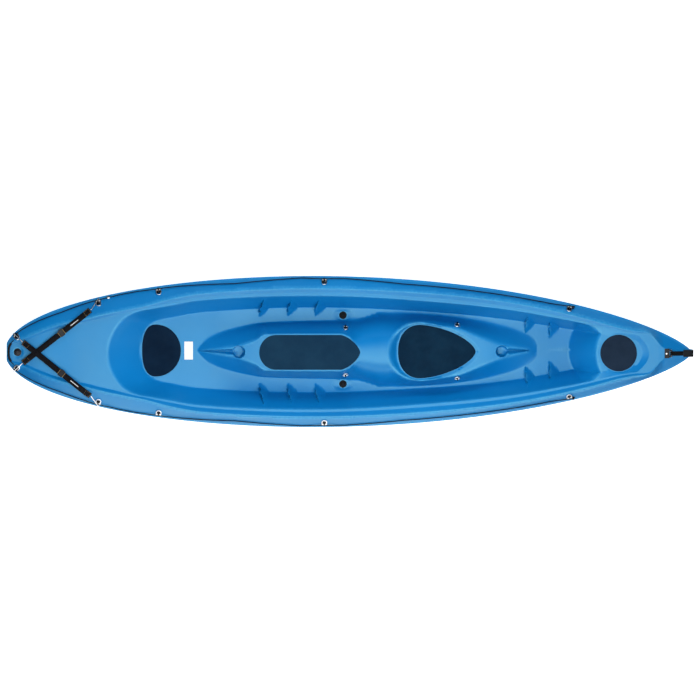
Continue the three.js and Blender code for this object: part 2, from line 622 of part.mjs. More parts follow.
// Taut line over the deck below it, as [distance, height] corners.
function strapLine(sign, clear) {
  const line = [];
  for (let i = 0; i <= 48; i += 1) {
    const s = (strapLength * i) / 48;
    const [x, y] = strapPoint(s, sign);
    const heights = [-1, 0, 1].map((side) => {
      const off = (side * STRAP.wide) / 2;
      return deckHeight(x - off * strapAlong[1], y + off * strapAlong[0] * sign);
    });
    const next = [s, Math.max(...heights) + clear];
    const bends = () => {
      const [a, b] = line.slice(-2);
      return (b[0] - a[0]) * (next[1] - a[1]) - (b[1] - a[1]) * (next[0] - a[0]) >= 0;
    };
    while (line.length > 1 && bends()) line.pop();
    line.push(next);
  }
  return line.filter((p, i) => i === 0 || i === line.length - 1 || p[0] - line[i - 1][0] > 12);
}

function strapSolid(sign, clear) {
  const rings = strapLine(sign, clear).map(([s, z]) => {
    const corner = (side, up) => {
      const off = (side * STRAP.wide) / 2;
      const [x, y] = strapPoint(s, sign);
      return new THREE.Vector3(x - off * strapAlong[1] * sign, y + off * strapAlong[0], z + up);
    };
    return [corner(1, 0), corner(1, STRAP.thick), corner(-1, STRAP.thick), corner(-1, 0)];
  });
  return loft(rings);
}

// Height of a strap's underside at a distance along it.
function strapHeight(sign, clear, s) {
  const line = strapLine(sign, clear);
  const i = Math.max(line.findIndex((p) => p[0] >= s), 1);
  const [a, b] = [line[i - 1], line[i]];
  return mix(a[1], b[1], (s - a[0]) / (b[0] - a[0]));
}

const BUCKLE = { at: 280, long: 26, wide: 41, high: 8 };
const STRAPS = { port: { sign: 1, clear: STRAP.clear }, starboard: { sign: -1, clear: STRAP.clear + 6 } };
for (const [side, { sign, clear }] of Object.entries(STRAPS)) {
  addPiece(`cargo_strap_${side}`, strapSolid(sign, clear), WEBBING);
  const heights = [-1, 1].map((end) => strapHeight(sign, clear, BUCKLE.at + 20 * end));
  const pitch = Math.atan2(heights[1] - heights[0], 40);
  const [x, y] = strapPoint(BUCKLE.at, sign);
  const slot = new THREE.BoxGeometry(BUCKLE.long + 2, STRAP.wide + 1.4, STRAP.thick + 1.4);
  const frame = solidOf(new THREE.BoxGeometry(BUCKLE.long, BUCKLE.wide, BUCKLE.high)).subtract(solidOf(slot));
  const buckle = geometryOf(frame).rotateY(-pitch).rotateZ(Math.atan2(sign * strapAlong[1], strapAlong[0]));
  const middle = (heights[0] + heights[1]) / 2 + STRAP.thick / 2;
  addPiece(`strap_buckle_${side}`, moved(buckle, x, y, middle), BLACK_PLASTIC);
  for (const [end, s, eyeX, eyeSign] of [["fore", strapLength, GUNWALE_EYES.strap, sign],
    ["aft", 0, GUNWALE_EYES.stern, -sign]]) {
    const eye = onDeck(eyeX, eyeSign * gunwaleY(eyeX), eyeSign * gunwaleHeading(eyeX));
    const above = new THREE.Vector3(0, 0, EYE.rise + 8.5).applyMatrix4(eye);
    const out = new THREE.Vector3(strapAlong[0], sign * strapAlong[1], 0).multiplyScalar(s > 0 ? 1 : -1);
    const [ex, ey] = strapPoint(s, sign);
    const tip = new THREE.Vector3(ex, ey, strapHeight(sign, clear, s) + STRAP.thick / 2);
    tip.addScaledVector(out, 3.2);
    const lip = above.clone().addScaledVector(out, 10).add(new THREE.Vector3(0, 0, -6));
    const route = [tip, tip.clone().addScaledVector(out, 8), above, lip];
    addPiece(`strap_hook_${end}_${side}`, cordAlong(route, 2.5, 10, 8), STEEL);
  }
}

// ---- Stern carry handle: a cord from eye to eye inside a soft tube ----
const HANDLE = { x: -1908, half: 70, bow: 30, cord: 2.8, tube: 6.5, lift: 12.5 };
const handleRoute = [-1, -0.72, -0.36, 0, 0.36, 0.72, 1].map((t) => {
  const x = HANDLE.x - HANDLE.bow * (1 - Math.abs(t) ** 2.6);
  const y = HANDLE.half * t;
  return new THREE.Vector3(x, y, deckHeight(HANDLE.x - 6, 30) + HANDLE.lift);
});
const handleCord = cordAlong(handleRoute, HANDLE.cord, 16, 8);
const handleBore = cordAlong(handleRoute, HANDLE.cord + 0.4, 16, 8);
const tubeEnds = new THREE.BoxGeometry(200, 2 * HANDLE.half - 34, 200);
const handleTube = solidOf(cordAlong(handleRoute, HANDLE.tube, 16, 8))
  .intersect(solidOf(moved(tubeEnds, HANDLE.x, 0, handleRoute[0].z)))
  .subtract(solidOf(handleBore));
addPiece("stern_handle_cord", handleCord, ROPE);
addPiece("stern_handle_tube", geometryOf(handleTube), RUBBER);

// ---- Bow carry handle: bracket with lugs, pin, strap and a grip that caps the bow tip ----
const BRACKET = { x: 1800, long: 28, wide: 54, thick: 4 };
const PIN = { x: 1824, up: 9, r: 3, long: 42 };
const GRIP = { x: 1892, wide: 40, thick: 9, end: LENGTH / 2, lip: 22 };
const foredeck = (x) => deckHeight(x, 0);
const pinZ = foredeck(BRACKET.x) + PIN.up;
const acrossY = (r, long, y = 0) => moved(new THREE.CylinderGeometry(r, r, long, 16), PIN.x, y, pinZ);
let bracket = solidOf(moved(new THREE.BoxGeometry(BRACKET.long, BRACKET.wide, 2 * BRACKET.thick),
  BRACKET.x, 0, foredeck(BRACKET.x)));
for (const side of [1, -1]) {
  const lug = new THREE.BoxGeometry(24, 5, 11);
  bracket = bracket.add(solidOf(moved(lug, PIN.x - 7, side * 17.5, pinZ)));
  bracket = bracket.add(solidOf(acrossY(6, 5, side * 17.5)));
}
bracket = bracket.subtract(solidOf(acrossY(PIN.r + GAP, 60)));
bracket = bracket.subtract(solidOf(cylinder(2.8, 200, 400, BRACKET.x - 2, 0, 16)));
addPiece("bow_handle_bracket", seated(geometryOf(bracket)), BLACK_PLASTIC);
addPiece("bow_handle_pin", acrossY(PIN.r, PIN.long), STEEL);
const SCREW_HEAD = [[0, -3.2], [2.4, -3.2], [2.4, GAP], [6, GAP], [5, 2.4], [2.5, 3.2], [0, 3.2]];
const bracketTop = foredeck(BRACKET.x) + BRACKET.thick;
addPiece("bow_handle_screw", moved(turned(SCREW_HEAD, 16), BRACKET.x - 2, 0, bracketTop), STEEL);

const strapSide = new THREE.Shape();
strapSide.moveTo(PIN.x, pinZ - 2);
strapSide.lineTo(GRIP.x, foredeck(GRIP.x) + 3);
strapSide.lineTo(GRIP.x, foredeck(GRIP.x) + 7);
strapSide.lineTo(PIN.x, pinZ + 4);
function sideways(shape, wide) {
  const solid = new THREE.ExtrudeGeometry(shape, { depth: wide, bevelEnabled: false });
  return solid.rotateX(Math.PI / 2).translate(0, wide / 2, 0);
}
const handleStrap = solidOf(sideways(strapSide, 25))
  .add(solidOf(acrossY(6.5, 25)))
  .subtract(solidOf(acrossY(PIN.r + 0.4, 60)));
addPiece("bow_handle_strap", geometryOf(handleStrap), WEBBING);

const gripSide = new THREE.Shape();
const gripStart = GRIP.x + GAP;
gripSide.moveTo(gripStart, foredeck(GRIP.x) + 2);
gripSide.lineTo(BOW_X + 2, foredeck(BOW_X) + 3);
gripSide.lineTo(BOW_X + 2, foredeck(BOW_X) - GRIP.lip);
gripSide.lineTo(GRIP.end, foredeck(BOW_X) - GRIP.lip + 3);
gripSide.lineTo(GRIP.end, foredeck(BOW_X) + 4);
gripSide.lineTo(GRIP.end - 8, foredeck(BOW_X) + GRIP.thick);
gripSide.lineTo(gripStart, foredeck(GRIP.x) + GRIP.thick);
addPiece("bow_handle_grip", sideways(gripSide, GRIP.wide), RUBBER);

// ---- Blank label ----
const LABEL = { x: -916, long: 48, wide: 102, thick: 0.8 };
const label = new THREE.BoxGeometry(LABEL.long, LABEL.wide, LABEL.thick);
const up = new THREE.Vector3(0, 0, 1);
addPiece("blank_label", settled(moved(label, LABEL.x, 0, deckHeight(LABEL.x, 0)), up), [0xf2f3f2, 0.5]);

export default group;
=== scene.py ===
"""The kayak's looks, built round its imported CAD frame: shells, foam pads, ropes, webbing and fittings."""
import math
import bmesh
import bpy
import numpy as np
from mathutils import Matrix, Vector, kdtree
from mathutils.geometry import delaunay_2d_cdt


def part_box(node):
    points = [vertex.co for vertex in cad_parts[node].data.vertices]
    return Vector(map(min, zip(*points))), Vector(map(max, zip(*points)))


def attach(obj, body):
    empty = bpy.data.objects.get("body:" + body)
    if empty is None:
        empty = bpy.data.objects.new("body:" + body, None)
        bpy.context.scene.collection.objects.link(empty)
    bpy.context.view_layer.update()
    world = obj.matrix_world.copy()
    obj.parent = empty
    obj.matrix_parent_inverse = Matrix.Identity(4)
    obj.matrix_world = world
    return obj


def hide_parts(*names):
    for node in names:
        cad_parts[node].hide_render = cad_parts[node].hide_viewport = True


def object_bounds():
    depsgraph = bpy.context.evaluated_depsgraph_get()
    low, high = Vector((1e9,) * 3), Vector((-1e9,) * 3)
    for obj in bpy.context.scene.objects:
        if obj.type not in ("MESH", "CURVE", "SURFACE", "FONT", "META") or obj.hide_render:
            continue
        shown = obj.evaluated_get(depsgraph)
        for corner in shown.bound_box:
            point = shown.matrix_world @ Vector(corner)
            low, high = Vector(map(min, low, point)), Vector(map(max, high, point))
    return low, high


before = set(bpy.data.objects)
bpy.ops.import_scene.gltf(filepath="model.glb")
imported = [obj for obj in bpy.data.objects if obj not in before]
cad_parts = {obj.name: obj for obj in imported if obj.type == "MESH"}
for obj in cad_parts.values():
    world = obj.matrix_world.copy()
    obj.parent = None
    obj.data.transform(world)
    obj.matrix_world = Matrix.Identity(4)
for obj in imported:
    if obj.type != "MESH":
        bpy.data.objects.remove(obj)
cad_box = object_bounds()
scene = bpy.context.scene
MM = 0.001


def curve(points):
    """Monotone smooth curve through (x, value) points."""
    xs, ys = np.array(points, float).T
    rate = np.diff(ys) / np.diff(xs)
    before, after = np.append(rate[0], rate), np.append(rate, rate[-1])
    total = np.where(before + after == 0, 1, before + after)
    slope = np.where(before * after > 0, 2 * before * after / total, 0)

    def value(x):
        at = np.clip(x, xs[0], xs[-1])
        i = np.clip(np.searchsorted(xs, at), 1, len(xs) - 1)
        span = xs[i] - xs[i - 1]
        t = (at - xs[i - 1]) / span
        pull = t * (1 - t) ** 2 * slope[i - 1] - t * t * (1 - t) * slope[i]
        return ys[i - 1] + (ys[i] - ys[i - 1]) * t * t * (3 - 2 * t) + span * pull
    return value


# ---- Driving dimensions, in millimetres, as in the CAD part ----
STERN_X, BOW_X = -1950.0, 1942.0
HALF_BEAM, BEAM_X, STERN_RUN, TIP_HALF = 431.0, -200.0, 1761.0, 20.0
BOW_TAPER, STERN_TAPER = (1.95, 0.7), (2.05, 0.5)
WALL, RIM, FLANGE, GAP, SEAM_GAP = 5.0, 6.0, 12.0, 0.3, 0.6
SLOPE_ROUND = 1.12
WALL_ROUND = 0.06
FLOOR_DISH = {"bend": 0.0011, "low": -760, "high": 1000, "fade": 200}
BOW_DECK_Z = 312.0
KEEL_FLAT = (-700.0, 700.0)
BOW_RISE, STERN_RISE = 280.0, 190.0
STERN_FINE, FINE_POWER = 0.6, 1.5
KEEL_SHARE, BILGE_POWER = (0.2, 0.04), (3.4, 1.25)
TUNNEL = {"depth": 12, "at": 0.38, "half": 0.16}
seam_z = curve([(-1950, 236), (-1500, 236), (-900, 228), (-200, 222), (600, 226), (1300, 246), (1942, 292)])
crest_z = curve([(-1950, 262), (-1750, 300), (-1400, 322), (-900, 304), (-200, 290), (500, 292), (1200, 316),
                 (1650, 338), (1800, 336), (1942, 322)])
slope_width = curve([(-1950, 20), (-1840, 75), (-1660, 88), (-1470, 101), (-1190, 98), (-1020, 78),
                     (-850, 66), (200, 66), (1000, 57), (1500, 60), (1600, 50), (1697, 28), (1784, 78),
                     (1860, 62), (1942, 14)])
bevel_width = curve([(-1950, 10), (-1800, 30), (-1350, 30), (-1190, 20), (-1000, 36), (0, 42), (500, 46),
                     (1100, 40), (1400, 29), (1600, 20), (1942, 8)])
bevel_drop = curve([(-1950, 4), (-1800, 16), (-1400, 18), (-1200, 10), (-900, 16), (1200, 16), (1500, 12),
                    (1690, 4), (1750, 0)])
floor_z = curve([(-1150, 165), (-950, 162), (-600, 128), (-300, 112), (300, 112), (970, 136), (1250, 104)])
hump_base = curve([(-872, 4), (-796, 72), (-653, 122), (-455, 156), (-150, 164), (30, 168), (100, 184),
                   (173, 203), (310, 205), (480, 197), (660, 176), (840, 140), (993, 92), (1055, 50),
                   (1078, 4)])
hump_top = curve([(-872, 1), (-653, 34), (-540, 70), (-480, 104), (-60, 108), (60, 60), (150, 22),
                  (240, 110), (420, 158), (600, 138), (760, 80), (860, 44), (1000, 16), (1078, 1)])
hump_z = curve([(-880, 150), (-796, 196), (-653, 244), (-540, 268), (-480, 274), (60, 274), (213, 268),
                (400, 258), (620, 246), (740, 236), (860, 212), (993, 164), (1078, 121)])
wall_width = curve([(-1200, 82), (0, 79), (600, 71), (1250, 66), (1400, 40), (1700, 34)])
hump_round = curve([(-870, 0.16), (-500, 0.05), (-80, 0.05), (60, 0.2), (200, 0.2), (330, 0.12),
                    (1078, 0.14)])
hump_barrel = curve([(0, 0), (80, 1), (200, 1), (300, 0)])
BARREL_POWER = 2.6
BEVEL_SHARE, BEVEL_ROUND = 0.58, 0.15
SEAT_BACK = {"x": -1377, "sweep": 114, "at": 221, "run": 186}
BOW_RIM = {"x": 1699, "bend": 0.0062, "run": 40}
REAR_CORNER, FORE_CORNER = 0.35, 0.3
BOW_STEP = {"foot": 1240, "top": 1398, "bend": 32, "at": 110, "lean": 25,
            "turn": 60, "turn_run": 70, "least": 60}
PADS = {
    "rear_seat_pad": {"x": -1102, "x2": -1102, "aft": 78, "fore": 142, "half": 148, "n": (2.4, 2), "z": 163,
                      "lip": (5, 5)},
    "centre_seat_pad": {"x": -420, "x2": -54, "aft": 95, "fore": 112, "half": 99, "n": (2, 1.5), "z": 272,
                        "lip": (22, 6)},
    "front_seat_pad": {"x": 398, "x2": 398, "aft": 125, "fore": 315, "half": 152, "n": (2.2, 1.6), "z": 226,
                       "lip": (60, 14)},
    "bow_deck_pad": {"x": 1525, "x2": 1525, "aft": 104, "fore": 104, "half": 104, "n": (2, 2),
                     "z": BOW_DECK_Z - 2, "lip": (6, 6)},
}
PAD_THICK = 5.0
CUPS = [{"x": -632, "r": 37, "tip": -866, "half": 18, "depth": 40},
        {"x": 862, "r": 34, "tip": 1016, "half": 15, "depth": 36}]
RIBS = [{"x": -513, "reach": 51, "back": 57}, {"x": -353, "reach": 51, "back": 64},
        {"x": -197, "reach": 51, "back": 70}, {"x": 994, "reach": 70, "back": 60},
        {"x": 1130, "reach": 70, "back": 60}]
RIB = {"rise": 56, "lean": 26, "climb": 60, "face": 30, "foot": 8, "below_rim": 6}
CUP_FOOT, SCUPPER_FOOT, DRAIN_FOOT = 1.14, 1.22, 1.15
SCUPPER = {"x": -40, "y": 196, "long": 57, "wide": 31, "depth": 8, "seat": 25.5, "hole": 20.3}
DRAIN = {"x": -1887, "r": 30, "hole": 16, "sunk": 3}


# ---- The deck and hull as heights over the plan ----
def mix(a, b, t):
    return a + (b - a) * t


def ramp(t, r):
    """0 to 1 between t = 0 and t = 1, with both corners rounded over +-r."""
    def soft(v):
        return np.where(v < -1, 0, np.where(v > 1, v, (v + 1) ** 2 / 4))
    return r * (soft(t / r) - soft((t - 1) / r))


def soft_min(a, b, r):
    h = np.clip(0.5 + (b - a) / (2 * r), 0, 1)
    return mix(b, a, h) - r * h * (1 - h)


def half_beam(x):
    fore = np.clip((x - BEAM_X) / (BOW_X - BEAM_X), 0, 1)
    aft = np.clip((BEAM_X - x) / STERN_RUN, 0, 1)
    ahead = HALF_BEAM * (1 - fore ** BOW_TAPER[0]) ** BOW_TAPER[1]
    astern = HALF_BEAM * (1 - aft ** STERN_TAPER[0]) ** STERN_TAPER[1]
    return np.maximum(np.where(x > BEAM_X, ahead, astern), TIP_HALF)


def crest_half(x):
    return np.maximum(half_beam(x) - slope_width(x), 5)


def coaming_half(x):
    return np.maximum(crest_half(x) - bevel_width(x), 3)


def pad_reach(pad, x, u, grow):
    """Distance measure of a pad's outline grown aft, fore and sideways: 1 on the outline."""
    behind = x < pad["x"]
    aft = np.maximum(pad["x"] - x, 0) / (pad["aft"] + grow[0])
    fore = np.maximum(x - pad["x2"], 0) / (pad["fore"] + grow[1])
    along = np.where(behind, aft, fore)
    n = np.where(behind, pad["n"][0], pad["n"][1])
    return (along ** n + (u / (pad["half"] + grow[2])) ** n) ** (1 / n)


def pad_edges(pad, x, u):
    """(inner, outer): 1 on the foot and on the top of the low wall round a pad."""
    aft, rest = pad["lip"]
    return pad_reach(pad, x, u, (4, 4, 4)), pad_reach(pad, x, u, (aft + 4, rest + 4, rest + 4))


def sink(z, level, inner, outer):
    """Lowers z to a flat level inside an outline, with a wall out to its wider lip."""
    t = (1 - outer) / np.maximum(inner - outer, 1e-9)
    wall = np.minimum(z, mix(z, level, t * t * (3 - 2 * t)))
    return np.where(outer >= 1, z, np.where(inner <= 1, np.minimum(z, level), wall))


def hump_side(x, u):
    base = hump_base(x)
    crown = np.minimum(hump_top(x), base - 2)
    return (base - u) / (base - crown)


def bevel_share(x, u):
    """0 on the crest, 1 where the gunwale's inner bevel meets its flat top."""
    return (crest_half(x) - u) / (BEVEL_SHARE * bevel_width(x))


def round_reach(place, x, u):
    """Distance measure of a round seat on the middle line: 1 on its edge."""
    return np.hypot(x - place["x"], u) / place["r"]


def bow_step(x, u):
    share = u / BOW_STEP["at"]
    foot = BOW_STEP["foot"] + BOW_STEP["bend"] * share ** 2
    turn = np.clip((u - BOW_STEP["at"]) / BOW_STEP["turn_run"], 0, 1)
    edge = BOW_STEP["top"] + BOW_STEP["lean"] * np.minimum(share ** 2, 1) - BOW_STEP["turn"] * turn
    return (x - foot) / (np.maximum(edge, foot + BOW_STEP["least"]) - foot)


def scupper_oval(x, u):
    return np.hypot((x - SCUPPER["x"]) / SCUPPER["long"], (u - SCUPPER["y"]) / SCUPPER["wide"])


def scupper_seat(x, u):
    return np.hypot(x - SCUPPER["x"], u - SCUPPER["y"]) / SCUPPER["seat"]


def channel_run(cup, x):
    """0 at a cup's middle, 1 at the tip of its drain channel."""
    return (x - cup["x"]) / (cup["tip"] - cup["x"])


def inside_height(x, u):
    """Floor, hump, wells and bow deck inside the coaming."""
    ends = x - FLOOR_DISH["low"], FLOOR_DISH["high"] - x
    level = np.minimum(*(np.clip(end / FLOOR_DISH["fade"], 0, 1) for end in ends))
    dished = floor_z(x) + FLOOR_DISH["bend"] * np.maximum(u - hump_base(x), 0) ** 2 * level
    z = mix(dished, BOW_DECK_Z, ramp(bow_step(x, u), WALL_ROUND))
    barrel = np.clip(1 - (u / hump_base(x)) ** BARREL_POWER, 0, 1)
    share = mix(ramp(hump_side(x, u), hump_round(x)), barrel, hump_barrel(x))
    z = z + np.maximum(hump_z(x) - z, 0) * share
    for cup in CUPS:
        level = hump_z(cup["x"]) - cup["depth"]
        far = round_reach(cup, x, u)
        z = sink(z, level, far * CUP_FOOT, far)
        run = channel_run(cup, x)
        wide = cup["half"] * np.clip(1 - run, 0.001, 1)
        channel = mix(mix(level, floor_z(cup["tip"]), run), z, (u / wide) ** 2)
        z = np.where((run > 0) & (run < 1) & (u < wide), np.minimum(z, channel), z)
    oval = scupper_oval(x, u)
    foot = np.minimum(scupper_seat(x, u), oval * SCUPPER_FOOT)
    return sink(z, floor_z(SCUPPER["x"]) - SCUPPER["depth"], foot, oval)


def cockpit(x, u):
    """0 at the cockpit's edge, 1 at the foot of its wall, rising inwards."""
    rear = SEAT_BACK["x"] + SEAT_BACK["sweep"] * (u / SEAT_BACK["at"]) ** 2
    sides = (coaming_half(x) - u) / wall_width(x)
    fore = (BOW_RIM["x"] - BOW_RIM["bend"] * u * u - x) / BOW_RIM["run"]
    return soft_min(soft_min(sides, (x - rear) / SEAT_BACK["run"], REAR_CORNER), fore, FORE_CORNER)


def rib_place(rib, x, u):
    """(run, side): how far a point is ahead of a foot brace's face and inside the foot of the side wall."""
    side = coaming_half(rib["x"]) - wall_width(rib["x"]) - u
    return x - rib["x"] - RIB["lean"] * np.clip(-side / RIB["climb"], 0, 1), side


def rib_height(rib, x, u):
    """Foot brace: an upright face aft and a crest that leans up the side wall and fades forward."""
    run, side = rib_place(rib, x, u)
    wedge = floor_z(rib["x"]) + RIB["rise"] * (1 - np.maximum(run, 0) / rib["back"] - side / rib["reach"])
    return np.where(run > -RIB["foot"], wedge - RIB["face"] * np.maximum(-run, 0), 0)


def panel_height(x, u):
    return crest_z(x) - bevel_drop(x) * ramp(bevel_share(x, u), BEVEL_ROUND)


def cockpit_depth(x, u):
    """How far the cockpit lies below the gunwale panel."""
    return np.maximum(panel_height(x, u) - inside_height(x, u), 0) * ramp(cockpit(x, u), WALL_ROUND)


def rib_stand(rib, x, u):
    """How far a foot brace stands above the cockpit round it."""
    panel = panel_height(x, u)
    top = np.minimum(rib_height(rib, x, u), panel - RIB["below_rim"])
    return np.where(cockpit(x, u) > 0, top - panel + cockpit_depth(x, u), -9)


def deck_height(x, y):
    u = np.abs(y)
    beam, crest = half_beam(x), crest_half(x)
    low = seam_z(x) + RIM
    v = np.clip((beam - u) / (beam - crest), 0, 1)
    slope = low + (crest_z(x) - low) * (1 - (1 - v) ** SLOPE_ROUND)
    panel = panel_height(x, u)
    inside = cockpit(x, u)
    z = panel - cockpit_depth(x, u)
    for rib in RIBS:
        brace = np.minimum(rib_height(rib, x, u), panel - RIB["below_rim"])
        z = np.where(inside > 0, np.maximum(z, brace), z)
    z = np.where(inside < -0.3, panel, z)
    for pad in PADS.values():
        z = sink(z, pad["z"], *pad_edges(pad, x, u))
    far = round_reach(DRAIN, x, u)
    z = sink(z, drain_level, far * DRAIN_FOOT, far)
    return np.where(u >= crest, slope, z)


def deck_at(x, y):
    return float(deck_height(np.float64(x), np.float64(y)))


drain_level = float(crest_z(DRAIN["x"]) - bevel_drop(DRAIN["x"]) - DRAIN["sunk"])


def hull_height(x, y):
    """Flat keel strip, two shallow tunnels, round bilges, and rocker at both ends."""
    ahead = np.maximum(x - KEEL_FLAT[1], 0) / (BOW_X - KEEL_FLAT[1])
    astern = np.maximum(KEEL_FLAT[0] - x, 0) / (KEEL_FLAT[0] - STERN_X)
    keel = BOW_RISE * ahead ** 3 + STERN_RISE * astern ** 3
    fine = np.maximum(ahead, astern * STERN_FINE) ** FINE_POWER
    share = np.clip(np.abs(y) / half_beam(x), 0, 1)
    edge = mix(*KEEL_SHARE, fine)
    out = np.clip((share - edge) / (1 - edge), 0, 1)
    off = np.clip((share - TUNNEL["at"]) / TUNNEL["half"], -1, 1)
    tunnel = TUNNEL["depth"] * np.cos(math.pi / 2 * off) ** 2 * (1 - fine)
    return keel + (seam_z(x) - RIM - keel) * out ** mix(*BILGE_POWER, fine) + tunnel


def slopes(height, x, y, step=0.8):
    """(dz/dx, dz/dy) of a height function."""
    sx = (height(x + step, y) - height(x - step, y)) / (2 * step)
    sy = (height(x, y + step) - height(x, y - step)) / (2 * step)
    return sx, sy


def wall_drop(height, x, y):
    sx, sy = slopes(height, x, y, 4)
    return WALL * np.minimum(np.sqrt(1 + sx ** 2 + sy ** 2), 2.2)


# ---- Plan meshes: triangles that follow each moulded line ----
def contour(value, level, xs, us):
    """Polylines in the plan where value(x, u) is level."""
    grid = value(*np.meshgrid(xs, us, indexing="ij")) - level
    above = grid > 0
    points, links = {}, {}

    def crossing(i, j, di, dj):
        key = (i, j, di)
        if key not in points:
            t = grid[i, j] / (grid[i, j] - grid[i + di, j + dj])
            points[key] = (xs[i] + t * di * (xs[1] - xs[0]), us[j] + t * dj * (us[1] - us[0]))
        return key
    corners = above[:-1, :-1] + 0 + above[1:, :-1] + above[:-1, 1:] + above[1:, 1:]
    for i, j in zip(*np.where((corners > 0) & (corners < 4))):
        sides = ((i, j, 1, 0), (i, j, 0, 1), (i + 1, j, 0, 1), (i, j + 1, 1, 0))
        found = [crossing(*side) for side in sides
                 if above[side[:2]] != above[side[0] + side[2], side[1] + side[3]]]
        for a, b in zip(found[::2], found[1::2]):
            links.setdefault(a, []).append(b)
            links.setdefault(b, []).append(a)
    chains, used = [], set()
    for start in sorted(links, key=lambda k: len(links[k])):
        if start in used:
            continue
        chain, at = [start], start
        used.add(start)
        while True:
            ahead = [k for k in links[at] if k not in used]
            if not ahead:
                break
            at = ahead[0]
            used.add(at)
            chain.append(at)
        if len(chain) > 2 and chain[0] in links[at]:
            chain.append(chain[0])
        chains.append(np.array([points[k] for k in chain]))
    return chains


def resampled(line, spacing):
    """The polyline with evenly spaced points."""
    line = np.asarray(line, float)
    far = np.append(0, np.cumsum(np.hypot(*np.diff(line, axis=0).T)))
    count = max(int(round(far[-1] / spacing)), 2)
    at = np.linspace(0, far[-1], count + 1)
    return np.column_stack([np.interp(at, far, line[:, 0]), np.interp(at, far, line[:, 1])])


def within(outline, points):
    """Which points lie inside a closed outline."""
    inside = np.zeros(len(points), bool)
    x, u = points.T
    for (ax, au), (bx, bu) in zip(outline[:-1], outline[1:]):
        if au == bu:
            continue
        crossed = (au > u) != (bu > u)
        inside ^= crossed & (x < ax + (u - au) * (bx - ax) / (bu - au))
    return inside


def plan_mesh(lines, outline, spacing, holes=()):
    """Triangles over one half of a plan. The outline closes on itself; lines and holes shape the mesh."""
    rings = [(outline, True)] + [(line, False) for line in lines]
    for x, u, r in holes:
        turn = np.linspace(0, math.pi if u < r else 2 * math.pi, 49)
        rings.append((np.column_stack([x + r * np.cos(turn), u + r * np.sin(turn)]), True))
    points, edges = [], []
    for line, _ in rings:
        first = len(points)
        points += [tuple(p) for p in line]
        edges += [(first + i, first + i + 1) for i in range(len(line) - 1)]
    near = kdtree.KDTree(len(points))
    for i, (x, u) in enumerate(points):
        near.insert((x, u, 0), i)
    near.balance()
    low, high = outline.min(axis=0), outline.max(axis=0)
    row = 0
    for u in np.arange(low[1] + spacing / 2, high[1], spacing * 0.866):
        row += 1
        xs = np.arange(low[0] + (row % 2) * spacing / 2, high[0], spacing)
        for x in xs[within(outline, np.column_stack([xs, np.full(len(xs), u)]))]:
            if near.find((x, u, 0))[2] > spacing * 0.55:
                points.append((x, u))
    flat = [Vector(p) for p in points]
    verts, _, faces, *_ = delaunay_2d_cdt(flat, edges, [], 1, 0.01, False)
    plan = np.array([tuple(v) for v in verts])
    tris = np.array(faces)
    middle = plan[tris].mean(axis=1)
    keep = within(outline, middle)
    for x, u, r in holes:
        keep &= np.hypot(middle[:, 0] - x, middle[:, 1] - u) > r
    return plan, tris[keep]


def both_halves(plan, tris):
    """The plan mesh mirrored across its middle line and joined there."""
    middle = plan[:, 1] < 0.01
    plan = np.where(middle[:, None] & np.array([False, True]), 0, plan)
    twin = np.where(middle, np.arange(len(plan)), len(plan) + np.cumsum(~middle) - 1)
    mirrored = plan[~middle] * [1, -1]
    return np.vstack([plan, mirrored]), np.vstack([tris, twin[tris][:, ::-1]])


# ---- Making pieces ----
def unit(v):
    return v / np.maximum(np.linalg.norm(v, axis=-1, keepdims=True), 1e-9)


def piece(name, parts, look, body="root", nodes=(), sharp=55):
    """A mesh piece from (vertices in mm, faces) parts that rides on a body and stands for CAD nodes."""
    verts, faces = [], []
    for part_verts, part_faces in parts:
        first = len(verts)
        verts += (np.asarray(part_verts, float) * MM).tolist()
        faces += [[first + int(i) for i in face] for face in part_faces]
    mesh = bpy.data.meshes.new(name)
    mesh.from_pydata(verts, [], faces)
    mesh.polygons.foreach_set("use_smooth", [True] * len(faces))
    mesh.set_sharp_from_angle(angle=math.radians(sharp))
    mesh.materials.append(LOOKS[look])
    obj = bpy.data.objects.new(name, mesh)
    scene.collection.objects.link(obj)
    if nodes:
        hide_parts(*nodes)
    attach(obj, body)
    return obj


def closed_between(plan, tris, top, bottom):
    """(vertices, faces) of a closed body between two heights over a plan mesh."""
    count = len(plan)
    verts = np.vstack([np.column_stack([plan, top]), np.column_stack([plan, np.broadcast_to(bottom, count)])])
    edges = {edge for a, b, c in tris.tolist() for edge in ((a, b), (b, c), (c, a))}
    skirt = [(b, a, a + count, b + count) for a, b in sorted(edges) if (b, a) not in edges]
    return verts, tris.tolist() + (tris[:, ::-1] + count).tolist() + skirt


def loft(rings, caps=True, closed=False):
    """Faces through rings of points of equal count; closed joins the last ring to the first."""
    rings = np.asarray(rings, float)
    count, n = rings.shape[:2]
    verts = rings.reshape(-1, 3)
    faces = []
    for i in range(count if closed else count - 1):
        a, b = i * n, ((i + 1) % count) * n
        faces += [(a + j, a + (j + 1) % n, b + (j + 1) % n, b + j) for j in range(n)]
    if caps and not closed:
        faces += [tuple(range(n))[::-1], tuple(range((count - 1) * n, count * n))]
    return verts, faces


def frames_along(path):
    """Side and up directions along a path, turned as little as possible."""
    path = np.asarray(path, float)
    tangent = unit(np.gradient(path, axis=0))
    up = np.array([0.0, 0, 1]) if abs(tangent[0][2]) < 0.9 else np.array([1.0, 0, 0])
    sides, ups = [], []
    for t in tangent:
        side = unit(np.cross(up, t))
        up = np.cross(t, side)
        sides.append(side)
        ups.append(up)
    return np.array(sides), np.array(ups)


